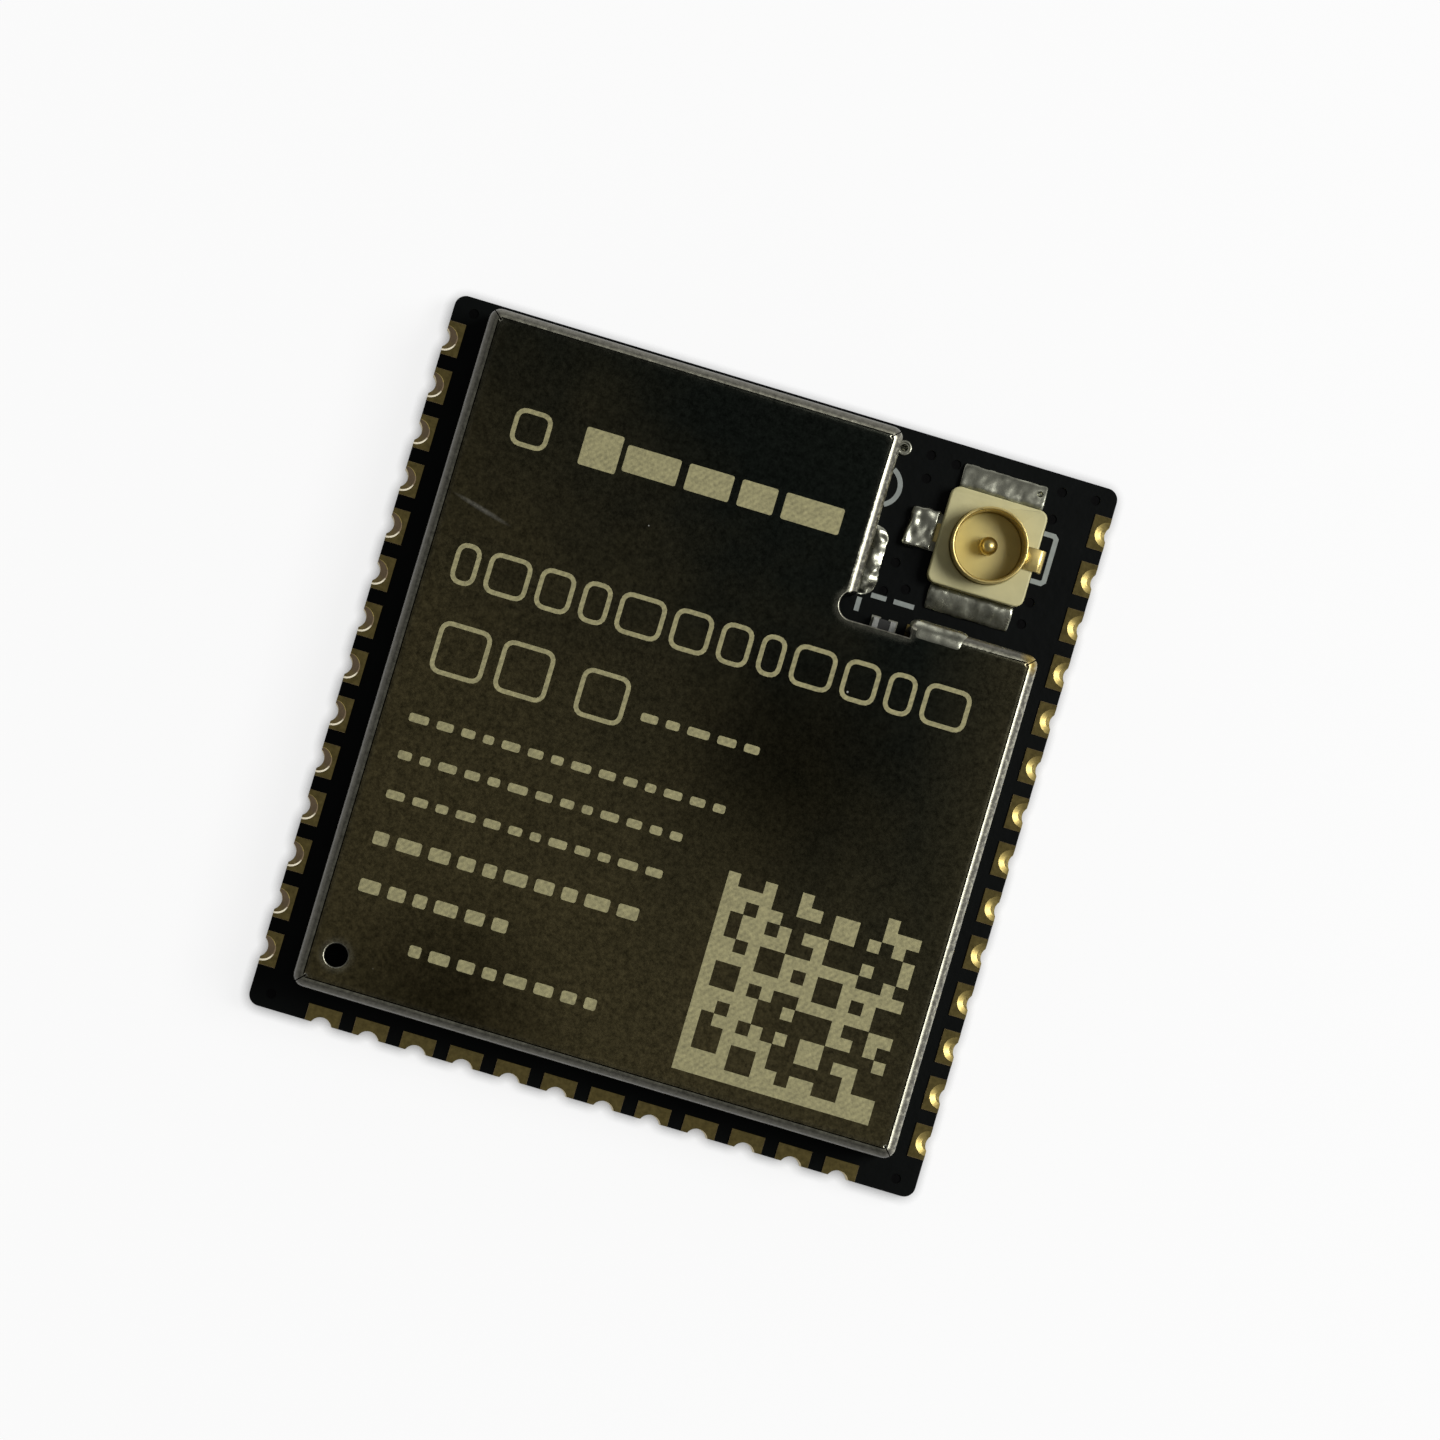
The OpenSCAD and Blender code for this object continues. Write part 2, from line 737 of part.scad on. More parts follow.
// The stamped signal contact: round-ended pin on a flat leg
module pin_solid() {
    straight_h = pin_h - pin_r;
    cylinder(r = pin_r, h = straight_h);
    translate([0, 0, straight_h])
        intersection() {
            sphere(pin_r);
            translate([-pin_r, -pin_r, 0]) cube(2 * pin_r);
        }
    translate([-leg_reach, -leg_w / 2, 0]) cube([leg_reach, leg_w, contact_t]);
}

module socket_body() {
    color("#beb98c")
        at_socket()
            difference() {
                linear_extrude(socket_body_h)
                    rounded_rect(socket_w, socket_w, socket_corner_r);
                translate([0, 0, socket_floor_h])
                    cylinder(r = ring_inner_r, h = socket_body_h);
                shell_solid();
                pin_solid();
            }
}

module socket_shell() {
    color("#c09a3c") at_socket() shell_solid();
}

module socket_pin() {
    color("#c09a3c") at_socket() pin_solid();
}

module socket_ground_solder() {
    color("#a8aaa6")
        at_socket()
            for (side = [90, -90])
                rotate(side)
                    translate([wing_reach, ground_land_w / 2 - solder_toe, 0])
                        rotate([90, 0, 0])
                            linear_extrude(ground_land_w - 2 * solder_toe)
                                joint_section(ground_land_out - wing_out);
}

module socket_signal_solder() {
    color("#a8aaa6")
        at_socket()
            translate([-leg_reach, -signal_land_w / 2 + solder_toe, 0])
                rotate([90, 0, 180])
                    linear_extrude(signal_land_w - 2 * solder_toe)
                        joint_section(signal_land_out - leg_out);
}

// Parts under the can

module processor_package() {
    color("#202022")
        translate([ground_x, ground_y, seat_z])
            difference() {
                plate(soc_w, soc_w, soc_h);
                processor_lead_set(soc_lead_l, lead_t);
                plate(soc_paddle_w, soc_paddle_w, lead_t);
            }
}

module processor_leads() {
    color("#c4c6c2")
        translate([ground_x, ground_y, seat_z]) processor_lead_set(soc_lead_l, lead_t);
}

module processor_paddle() {
    color("#c4c6c2")
        translate([ground_x, ground_y, seat_z])
            plate(soc_paddle_w, soc_paddle_w, lead_t);
}

module flash_package() {
    color("#202022")
        translate([flash_x, flash_y, seat_z])
            difference() {
                plate(flash_w, flash_l, flash_h);
                flash_lead_set(flash_lead_l, lead_t);
                plate(flash_paddle_w, flash_l - 2 * lead_t, lead_t);
            }
}

module flash_leads() {
    color("#c4c6c2")
        translate([flash_x, flash_y, seat_z]) flash_lead_set(flash_lead_l, lead_t);
}

module flash_paddle() {
    color("#c4c6c2")
        translate([flash_x, flash_y, seat_z])
            plate(flash_paddle_w, flash_l - 2 * lead_t, lead_t);
}

module crystal_base() {
    color("#d8d2c4")
        translate([crystal_x, crystal_y, seat_z])
            plate(crystal_w, crystal_l, crystal_base_h);
}

module crystal_lid() {
    color("#c8c49c")
        translate([crystal_x, crystal_y, seat_z + crystal_base_h])
            linear_extrude(crystal_lid_h)
                rounded_rect(crystal_w - 2 * crystal_lid_inset,
                    crystal_l - 2 * crystal_lid_inset, crystal_lid_inset);
}

module capacitor_bodies() {
    color("#8a6a48") at_parts(capacitors) chip_body(chip_l, chip_w, chip_w);
}

module capacitor_ends() {
    color("#c4c6c2") at_parts(capacitors) chip_ends(chip_l, chip_w, chip_w);
}

module resistor_bodies() {
    color("#1c1c1e") at_parts(resistors) chip_body(chip_l, chip_w, resistor_h);
}

module resistor_ends() {
    color("#c4c6c2") at_parts(resistors) chip_ends(chip_l, chip_w, resistor_h);
}

module antenna_chip_bodies() {
    color("#3c3c40") at_parts(antenna_chips) chip_body(rf_chip_l, rf_chip_w, rf_chip_w);
}

module antenna_chip_ends() {
    color("#c4c6c2") at_parts(antenna_chips) chip_ends(rf_chip_l, rf_chip_w, rf_chip_w);
}

module inductor_body() {
    color("#3c3c40")
        translate([inductor_x, inductor_y, 0])
            chip_body(inductor_l, inductor_w, inductor_h);
}

module inductor_ends() {
    color("#c4c6c2")
        translate([inductor_x, inductor_y, 0])
            chip_ends(inductor_l, inductor_w, inductor_h);
}

circuit_board();
castellations_left();
castellations_bottom();
castellations_right();
ground_pads();
shield_lands();
socket_lands();
component_lands();
test_pad();
shield_can();
shield_solder();
socket_body();
socket_shell();
socket_pin();
socket_ground_solder();
socket_signal_solder();
processor_package();
processor_leads();
processor_paddle();
flash_package();
flash_leads();
flash_paddle();
crystal_base();
crystal_lid();
capacitor_bodies();
capacitor_ends();
resistor_bodies();
resistor_ends();
antenna_chip_bodies();
antenna_chip_ends();
inductor_body();
inductor_ends();
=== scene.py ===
import json
import math
from contextlib import contextmanager
from itertools import pairwise

import bmesh
import bpy
from bpy.props import FloatProperty, FloatVectorProperty, IntProperty, PointerProperty
from bpy.types import NodeSocket, Operator, Panel, PropertyGroup
from mathutils import Matrix, Vector


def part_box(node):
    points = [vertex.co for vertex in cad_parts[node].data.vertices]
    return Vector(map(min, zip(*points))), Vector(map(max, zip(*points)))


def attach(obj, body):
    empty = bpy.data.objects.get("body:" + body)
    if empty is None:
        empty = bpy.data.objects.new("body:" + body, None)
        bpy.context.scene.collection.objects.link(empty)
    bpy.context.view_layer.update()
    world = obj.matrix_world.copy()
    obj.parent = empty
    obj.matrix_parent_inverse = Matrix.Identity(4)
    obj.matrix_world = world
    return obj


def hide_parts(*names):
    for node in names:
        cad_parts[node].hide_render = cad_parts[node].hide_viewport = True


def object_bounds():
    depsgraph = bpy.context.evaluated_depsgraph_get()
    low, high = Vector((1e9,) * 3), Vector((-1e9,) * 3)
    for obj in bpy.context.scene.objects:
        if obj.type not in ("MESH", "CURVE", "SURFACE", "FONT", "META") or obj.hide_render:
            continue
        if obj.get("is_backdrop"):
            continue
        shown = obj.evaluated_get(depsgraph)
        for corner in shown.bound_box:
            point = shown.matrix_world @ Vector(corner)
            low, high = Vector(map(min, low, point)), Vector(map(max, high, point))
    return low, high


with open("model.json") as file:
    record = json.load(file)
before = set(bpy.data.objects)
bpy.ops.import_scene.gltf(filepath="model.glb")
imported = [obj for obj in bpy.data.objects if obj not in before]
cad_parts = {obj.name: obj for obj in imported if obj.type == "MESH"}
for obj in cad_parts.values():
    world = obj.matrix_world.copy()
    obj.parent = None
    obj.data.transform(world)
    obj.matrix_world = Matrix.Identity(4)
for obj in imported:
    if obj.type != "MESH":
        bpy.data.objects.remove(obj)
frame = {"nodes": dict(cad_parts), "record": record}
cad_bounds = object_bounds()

bl_info = {
    "name": "Radio module",
    "version": (1, 0, 0),
    "blender": (4, 5, 0),
    "location": "View3D > Sidebar > Radio module",
    "description": "Models the visible pieces of a castellated radio module on its CAD frame",
    "category": "Object",
}

# Pieces are modelled in millimetres and brought to metres when they are finished.
MM = 0.001
QUARTER = math.pi / 2
# Distance within which a point counts as lying on a face that is being picked.
NEAR = 1e-3
# Distance within which two points become one when a shape is closed.
DOUBLE = 1e-5


def linear(colour):
    """Turn an sRGB hex colour into linear red, green and blue."""
    channels = (int(colour[i:i + 2], 16) / 255 for i in (1, 3, 5))
    return tuple(c / 12.92 if c <= 0.04045 else ((c + 0.055) / 1.055) ** 2.4 for c in channels)


def in_mm(length):
    """Millimetres of a length property."""
    return length / MM


def node_box(node):
    """Lowest and highest corner of a CAD node, in millimetres."""
    return tuple(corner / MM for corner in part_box(node))


BOARD_LOW, BOARD_HIGH = node_box("circuit_board")
CAN_LOW, CAN_HIGH = node_box("shield_can")
INSULATOR_LOW, INSULATOR_HIGH = node_box("socket_body")
SHELL_HIGH = node_box("socket_shell")[1]
PIN_LOW, PIN_HIGH = node_box("socket_pin")
RING_PAD_LOW, RING_PAD_HIGH = node_box("test_pad")
# Corner of the can's notch that flux has stained.
STAIN = (CAN_HIGH.x - 0.05, 4.62, CAN_HIGH.z - 0.15)
# Darker clouds on the lid: middle and radius.
LID_CLOUDS = (((2.6, 0.2), 4.5), ((-4.2, -8.2), 4.0))
# Scratch on the lid: its middle, its half length and half width, and its turn in degrees.
SCRATCH = ((-6.82, 4.23), (0.9, 0.08), -14.5)
# Depth of the dimples over the board's covered vias.
VIA_DEPTH = 0.05
BOARD_TOP = BOARD_HIGH.z
SEAT = CAN_LOW.z
LID = CAN_HIGH.z
SOCKET_X = (INSULATOR_LOW.x + INSULATOR_HIGH.x) / 2
SOCKET_Y = (INSULATOR_LOW.y + INSULATOR_HIGH.y) / 2


# Sizes and colours that a user would change


class EdgePadSizes(PropertyGroup):
    """Sizes of the plated half-holes along the board's edges"""

    pitch: FloatProperty(
        name="Pitch", description="Distance between neighbouring pads",
        default=1.27 * MM, unit="LENGTH", precision=5)
    width: FloatProperty(
        name="Width", description="Width of a pad along the edge",
        default=0.9 * MM, unit="LENGTH", precision=5)
    top_reach: FloatProperty(
        name="Upper reach", description="Reach of the upper land from the edge",
        default=0.45 * MM, unit="LENGTH", precision=5)
    under_reach: FloatProperty(
        name="Lower reach", description="Reach of the lower land from the edge",
        default=0.9 * MM, unit="LENGTH", precision=5)
    drill_radius: FloatProperty(
        name="Drill radius", description="Radius of the half-hole before plating",
        default=0.3 * MM, unit="LENGTH", precision=5)


class CanSizes(PropertyGroup):
    """Sizes of the folded shield can"""

    sheet: FloatProperty(
        name="Sheet", description="Thickness of the sheet",
        default=0.2 * MM, unit="LENGTH", precision=5)
    fold_radius: FloatProperty(
        name="Fold radius", description="Outer radius of the folds",
        default=0.3 * MM, unit="LENGTH", precision=5)
    seam: FloatProperty(
        name="Seam", description="Width of the open seam at a corner",
        default=0.03 * MM, unit="LENGTH", precision=5)
    notch_width: FloatProperty(
        name="Notch width", description="Width of the notch for the antenna socket",
        default=5.0 * MM, unit="LENGTH", precision=5)
    notch_length: FloatProperty(
        name="Notch length", description="Length of the notch for the antenna socket",
        default=4.65 * MM, unit="LENGTH", precision=5)
    gap: FloatProperty(
        name="Gap", description="Open stretch of the notch's lower side",
        default=1.6 * MM, unit="LENGTH", precision=5)
    relief_radius: FloatProperty(
        name="Relief radius", description="Radius of the cut at the notch's inner corner",
        default=0.38 * MM, unit="LENGTH", precision=5)
    relief_depth: FloatProperty(
        name="Relief depth", description="How far that cut lies inside the notch's lower face",
        default=0.1 * MM, unit="LENGTH", precision=5)
    vent_radius: FloatProperty(
        name="Vent radius", description="Radius of the vent hole in the lid",
        default=0.3 * MM, unit="LENGTH", precision=5)


class SocketSizes(PropertyGroup):
    """Sizes of the coaxial antenna socket"""

    corner_radius: FloatProperty(
        name="Corner radius", description="Radius of the insulator's upright corners",
        default=0.24 * MM, unit="LENGTH", precision=5)
    floor_height: FloatProperty(
        name="Floor height", description="Height of the insulator inside the ring",
        default=0.34 * MM, unit="LENGTH", precision=5)
    ring_radius: FloatProperty(
        name="Ring radius", description="Outer radius of the ring",
        default=1.0 * MM, unit="LENGTH", precision=5)
    ring_wall: FloatProperty(
        name="Ring wall", description="Wall of the ring",
        default=0.1 * MM, unit="LENGTH", precision=5)
    pin_radius: FloatProperty(
        name="Pin radius", description="Radius of the centre pin",
        default=0.24 * MM, unit="LENGTH", precision=5)
    contact: FloatProperty(
        name="Contact", description="Thickness of the stamped contacts",
        default=0.1 * MM, unit="LENGTH", precision=5)
    wing_width: FloatProperty(
        name="Wing width", description="Width of the two ground wings",
        default=1.8 * MM, unit="LENGTH", precision=5)
    leg_width: FloatProperty(
        name="Leg width", description="Width of the signal leg",
        default=0.5 * MM, unit="LENGTH", precision=5)
    tab_width: FloatProperty(
        name="Tab width", description="Width of the carrier tab",
        default=0.6 * MM, unit="LENGTH", precision=5)


class MarkSizes(PropertyGroup):
    """Sizes of the printed lines and of the etched marks on the lid"""

    ink_width: FloatProperty(
        name="Ink width", description="Width of a printed line",
        default=0.13 * MM, unit="LENGTH", precision=5)
    ink_height: FloatProperty(
        name="Ink height", description="Thickness of the printed ink",
        default=0.015 * MM, unit="LENGTH", precision=5)
    etch_height: FloatProperty(
        name="Etch height", description="How far the etched metal stands up",
        default=0.004 * MM, unit="LENGTH", precision=6)
    cell: FloatProperty(
        name="Cell", description="Width of one cell of the block pattern",
        default=0.33 * MM, unit="LENGTH", precision=5)
    cells: IntProperty(
        name="Cells", description="Cells along each side of the block pattern", default=16)


class FinishColours(PropertyGroup):
    """Colours of the finishes"""

    mask: FloatVectorProperty(
        name="Solder mask", description="Colour of the board's black solder mask",
        default=linear("#060807"), subtype="COLOR", min=0, max=1)
    laminate: FloatVectorProperty(
        name="Laminate", description="Colour of the glass-epoxy at the board's cut edges",
        default=linear("#3a3427"), subtype="COLOR", min=0, max=1)
    pad_gold: FloatVectorProperty(
        name="Pad gold", description="Colour of the gold on the pads",
        default=linear("#a6945a"), subtype="COLOR", min=0, max=1)
    nickel: FloatVectorProperty(
        name="Nickel", description="Colour of the nickel in the half-holes' bowls",
        default=linear("#86745c"), subtype="COLOR", min=0, max=1)
    # Painted highlight: a near white line painted on the half-holes' steep rims that face +Y.
    rim_highlight: FloatVectorProperty(
        name="Burnish", description="Colour of the half-holes' milled rims",
        default=linear("#fff6dc"), subtype="COLOR", min=0, max=1)
    sheet: FloatVectorProperty(
        name="Sheet", description="Colour of the tarnished lid at the antenna socket's end",
        default=linear("#121512"), subtype="COLOR", min=0, max=1)
    # Painted reflection: the lighter, browner lid at the other end is a reflection painted into its
    # colour.
    sheet_warm_reflection: FloatVectorProperty(
        name="Browned sheet", description="Colour of the tarnished lid at the other end",
        default=linear("#403a26"), subtype="COLOR", min=0, max=1)
    sheet_worn: FloatVectorProperty(
        name="Worn sheet", description="Colour of the sheet on its folds",
        default=linear("#6e6c63"), subtype="COLOR", min=0, max=1)
    # Partly rubbed metal, partly a painted highlight on the folds' ridge and on the scuffs that face
    # the lamp.
    sheet_rub_and_highlight: FloatVectorProperty(
        name="Bright sheet", description="Colour of the folds' rubbed ridge",
        default=linear("#a8a694"), subtype="COLOR", min=0, max=1)
    dust: FloatVectorProperty(
        name="Dust", description="Colour of the specks of dust on the can",
        default=linear("#a3a39b"), subtype="COLOR", min=0, max=1)
    flux_stain: FloatVectorProperty(
        name="Flux stain", description="Colour of the fold that flux has stained",
        default=linear("#9c8850"), subtype="COLOR", min=0, max=1)
    etched: FloatVectorProperty(
        name="Etched metal", description="Colour of the etched marks",
        default=linear("#98926a"), subtype="COLOR", min=0, max=1)
    solder: FloatVectorProperty(
        name="Solder", description="Colour of the solder",
        default=linear("#989889"), subtype="COLOR", min=0, max=1)
    insulator: FloatVectorProperty(
        name="Insulator", description="Colour of the socket's insulator",
        default=linear("#beb787"), subtype="COLOR", min=0, max=1)
    contact_gold: FloatVectorProperty(
        name="Contact gold", description="Colour of the gold on the socket's contacts",
        default=linear("#d0bb78"), subtype="COLOR", min=0, max=1)
    ink: FloatVectorProperty(
        name="Ink", description="Colour of the printed lines",
        default=linear("#878d88"), subtype="COLOR", min=0, max=1)


class StageSettings(PropertyGroup):
    """Camera and light"""

    distance: FloatProperty(
        name="Distance", description="Distance of the camera",
        default=220 * MM, unit="LENGTH", precision=4)
    view_width: FloatProperty(
        name="View width", description="Width of what the camera sees at the board",
        default=37.4 * MM, unit="LENGTH", precision=5)
    roll: FloatProperty(
        name="Roll", description="Turn of the board in the picture, clockwise",
        default=math.radians(16.5), subtype="ANGLE")
    aim: FloatVectorProperty(
        name="Aim", description="Point at the middle of the picture",
        default=(0.68 * MM, 0.91 * MM, 0.8 * MM), subtype="TRANSLATION", precision=5)
    sight: FloatVectorProperty(
        name="Line of sight", description="Direction from the board to the camera",
        default=(-0.045, -0.05, 1.0), subtype="DIRECTION")
    sky: FloatProperty(
        name="Sky", description="Strength of the light from overhead", default=0.15)
    key_power: FloatProperty(
        name="Key lamp", description="Power of the soft lamp at the side",
        default=1.25, unit="POWER")


SETTINGS = {
    "radio_edge_pads": EdgePadSizes,
    "radio_can": CanSizes,
    "radio_socket": SocketSizes,
    "radio_marks": MarkSizes,
    "radio_colours": FinishColours,
    "radio_stage": StageSettings,
}


# Modelling by hand


def deselect():
    """Leave edit mode and let go of everything."""
    if bpy.context.object and bpy.context.object.mode != "OBJECT":
        bpy.ops.object.mode_set(mode="OBJECT")
    bpy.ops.object.select_all(action="DESELECT")


def take(*pieces):
    """Select pieces alone, with the first one active."""
    deselect()
    for piece in pieces:
        piece.select_set(True)
    bpy.context.view_layer.objects.active = pieces[0]


def start(name, add, **settings):
    """Add a primitive at its size and place, with its place in its mesh."""
    deselect()
    add(**settings)
    piece = bpy.context.object
    piece.name = piece.data.name = name
    bpy.ops.object.transform_apply(location=True, rotation=True, scale=True)
    return piece


@contextmanager
def editing(piece):
    """Edit a piece with all of it selected."""
    take(piece)
    bpy.ops.object.mode_set(mode="EDIT")
    bpy.ops.mesh.select_mode(type="VERT")
    bpy.ops.mesh.select_all(action="SELECT")
    yield
    bpy.ops.object.mode_set(mode="OBJECT")


def pick(kind, test):
    """Select the vertices, edges or faces in edit mode that pass a test."""
    mesh = bpy.context.edit_object.data
    bpy.ops.mesh.select_mode(type=kind)
    bpy.ops.mesh.select_all(action="DESELECT")
    shape = bmesh.from_edit_mesh(mesh)
    elements = {"VERT": shape.verts, "EDGE": shape.edges, "FACE": shape.faces}[kind]
    for element in elements:
        if test(element):
            element.select_set(True)
    shape.select_flush_mode()
    bmesh.update_edit_mesh(mesh)


def pull(step):
    """Extrude what is selected in edit mode by a step."""
    bpy.ops.mesh.extrude_region_move(TRANSFORM_OT_translate={"value": step})


def close_up():
    """Merge doubles in edit mode and turn all faces outwards."""
    bpy.ops.mesh.select_all(action="SELECT")
    bpy.ops.mesh.remove_doubles(threshold=DOUBLE)
    bpy.ops.mesh.normals_make_consistent(inside=False)


def trace(name, points):
    """Draw a wire from point to point by extruding one vertex, and fill it."""
    piece = start(name, bpy.ops.mesh.primitive_plane_add, size=1, location=points[0])
    with editing(piece):
        bpy.ops.mesh.merge(type="CENTER")
        for here, there in pairwise(points):
            step = Vector(there) - Vector(here)
            bpy.ops.mesh.extrude_vertices_move(TRANSFORM_OT_translate={"value": step})
        bpy.ops.mesh.select_all(action="SELECT")
        bpy.ops.mesh.edge_face_add()
    return piece


def prism(name, outline, low, high):
    """Draw an outline in plan and pull it up to a closed solid."""
    piece = trace(name, [(x, y, low) for x, y in outline])
    with editing(piece):
        pull((0, 0, high - low))
        close_up()
    return piece


def swept(name, section, length, cuts=0):
    """Draw a section of Y and Z and pull it out along X, with crosswise cuts."""
    piece = trace(name, [(0, y, z) for y, z in section])
    with editing(piece):
        pull((length, 0, 0))
        if cuts:
            pick("EDGE", lambda edge: abs(edge.verts[0].co.x - edge.verts[1].co.x) > NEAR)
            bpy.ops.mesh.subdivide(number_cuts=cuts)
        close_up()
    return piece


def lathe(name, section, steps):
    """Draw a section of radius and height and turn it about the upright axis."""
    piece = trace(name, [(r, 0, z) for r, z in section])
    with editing(piece):
        bpy.ops.mesh.delete(type="ONLY_FACE")
        bpy.ops.mesh.select_all(action="SELECT")
        bpy.ops.mesh.spin(steps=steps, angle=4 * QUARTER, center=(0, 0, 0), axis=(0, 0, 1))
        close_up()
        # A section that touches the axis leaves a loose edge there.
        bpy.ops.mesh.delete_loose()
    return piece


def block(name, low, high):
    """Stand a box between two corners."""
    low, high = Vector(low), Vector(high)
    return start(name, bpy.ops.mesh.primitive_cube_add, size=1,
                 location=(low + high) / 2, scale=high - low)


def rod(name, radius, low, high, place=(0, 0), sides=96):
    """Stand a cylinder at a place between two heights."""
    return start(name, bpy.ops.mesh.primitive_cylinder_add, vertices=sides, radius=radius,
                 depth=high - low, location=(*place, (low + high) / 2))


def arc(centre, radius, first, last, steps):
    """Points along an arc in a plane, between two angles in degrees."""
    turns = (math.radians(first + (last - first) * i / steps) for i in range(steps + 1))
    return [(centre[0] + radius * math.cos(a), centre[1] + radius * math.sin(a))
            for a in turns]


def modify(piece, kind, **settings):
    """Add a modifier with its settings and apply it."""
    take(piece)
    modifier = piece.modifiers.new(kind.lower(), kind)
    for name, value in settings.items():
        setattr(modifier, name, value)
    bpy.ops.object.modifier_apply(modifier=modifier.name)


def combine(piece, tool, operation):
    """Add a tool's solid to a piece, or cut it out of the piece."""
    modify(piece, "BOOLEAN", object=tool, operation=operation, solver="EXACT")
    bpy.data.objects.remove(tool)


def place(piece, location=(0, 0, 0), turn=0):
    """Turn a piece about the upright axis, move it and keep that in its mesh."""
    take(piece)
    piece.rotation_euler = (0, 0, turn)
    piece.location = location
    bpy.ops.object.transform_apply(location=True, rotation=True, scale=True)
    return piece


def join(name, *pieces):
    """Join pieces into one."""
    take(*pieces)
    bpy.ops.object.join()
    pieces[0].name = pieces[0].data.name = name
    return pieces[0]


def roughen(piece, height, grain):
    """Push a piece's surface in and out in soft lumps of one size."""
    lumps = bpy.data.textures.new(piece.name + "_lumps", "CLOUDS")
    lumps.noise_scale = grain
    lumps.noise_depth = 2
    modify(piece, "DISPLACE", texture=lumps, strength=height, mid_level=0.5,
           texture_coords="LOCAL")


def finish(piece, slot, replaced=(), angle=35):
    """Bring a piece to metres, smooth it, give it its finish and tie it to the frame. A piece
    that replaces no CAD node has a finish of its own and no slot."""
    take(piece)
    piece.scale = (MM, MM, MM)
    bpy.ops.object.transform_apply(location=True, rotation=True, scale=True)
    bpy.ops.object.shade_smooth_by_angle(angle=math.radians(angle))
    piece.data.materials.clear()
    piece.data.materials.append(finish_for(slot))
    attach(piece, "root")
    if replaced:
        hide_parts(*replaced)


# Finishes


def per_mm(size):
    """Scale of a pattern on Object coordinates whose features measure a size in mm."""
    return 1 / (size * MM)


def add_node(material, kind, inputs=None, **settings):
    """Add a node with its settings, its values and its links."""
    tree = material.node_tree
    node = tree.nodes.new(kind)
    for name, value in settings.items():
        setattr(node, name, value)
    for socket, value in (inputs or {}).items():
        if isinstance(value, NodeSocket):
            tree.links.new(value, node.inputs[socket])
        else:
            node.inputs[socket].default_value = value
    return node


def new_finish(name, **sockets):
    """Make a material with a Principled shader and set the shader's own sockets."""
    material = bpy.data.materials.new(name)
    material.use_nodes = True
    shader = material.node_tree.nodes["Principled BSDF"]
    for socket, value in sockets.items():
        shader.inputs[socket.replace("_", " ").title()].default_value = value
    return material, shader


def link(material, output, socket):
    """Link a node's output to a socket."""
    material.node_tree.links.new(output, socket)


def rgba(colour):
    """A colour with full opacity."""
    return (*colour, 1)


def shades(colour, *factors):
    """Darker and lighter shades of a colour."""
    return [rgba(Vector(colour) * factor) for factor in factors]


def black_solder_mask(colours):
    """Epoxy ink printed over copper: deep black, satin, with a slight orange peel, and painted
    shade, pure black, in the dimples over the covered vias. The cut edges are bare glass-epoxy in
    thin layers."""
    material, shader = new_finish("black_solder_mask", roughness=0.3)
    shader.inputs["Specular IOR Level"].default_value = 0.1
    coords = add_node(material, "ShaderNodeTexCoord").outputs["Object"]
    cloud = add_node(material, "ShaderNodeTexNoise",
                     {"Vector": coords, "Scale": per_mm(1.2), "Detail": 3.0})
    dark, light = shades(colours.mask, 0.6, 1.5)
    mask = add_node(material, "ShaderNodeMix", {0: cloud.outputs["Fac"], 6: dark, 7: light},
                    data_type="RGBA")
    layers = add_node(material, "ShaderNodeTexWave",
                      {"Vector": coords, "Scale": per_mm(0.8), "Distortion": 1.5,
                       "Detail": 2.0, "Detail Scale": 3.0},
                      bands_direction="Z")
    fibre, resin = shades(colours.laminate, 1.0, 0.45)
    laminate = add_node(material, "ShaderNodeMix",
                        {0: layers.outputs["Fac"], 6: fibre, 7: resin}, data_type="RGBA")
    normal = add_node(material, "ShaderNodeNewGeometry").outputs["Normal"]
    upright = add_node(material, "ShaderNodeSeparateXYZ", {0: normal}).outputs["Z"]
    flat = add_node(material, "ShaderNodeMath", {0: upright}, operation="ABSOLUTE")
    skin = add_node(material, "ShaderNodeMath", {0: flat.outputs[0], 1: 0.5},
                    operation="GREATER_THAN")
    height = add_node(material, "ShaderNodeSeparateXYZ", {0: coords}).outputs["Z"]
    dimple = add_node(material, "ShaderNodeMath",
                      {0: height, 1: (BOARD_TOP - VIA_DEPTH) * MM, 2: 0.4 * VIA_DEPTH * MM},
                      operation="COMPARE")
    # Painted shade: the dimples over the covered vias are coloured pure black for the shade that
    # falls in them.
    dimple_shade = add_node(material, "ShaderNodeMix",
                       {0: dimple.outputs[0], 6: mask.outputs[2], 7: (0, 0, 0, 1)},
                       data_type="RGBA")
    colour = add_node(material, "ShaderNodeMix",
                      {0: skin.outputs[0], 6: laminate.outputs[2], 7: dimple_shade.outputs[2]},
                      data_type="RGBA")
    link(material, colour.outputs[2], shader.inputs["Base Color"])
    peel = add_node(material, "ShaderNodeTexNoise",
                    {"Vector": coords, "Scale": per_mm(0.22), "Detail": 4.0})
    bump = add_node(material, "ShaderNodeBump",
                    {"Strength": 0.25, "Distance": 0.02 * MM, "Height": peel.outputs["Fac"]})
    link(material, bump.outputs[0], shader.inputs["Normal"])
    return material


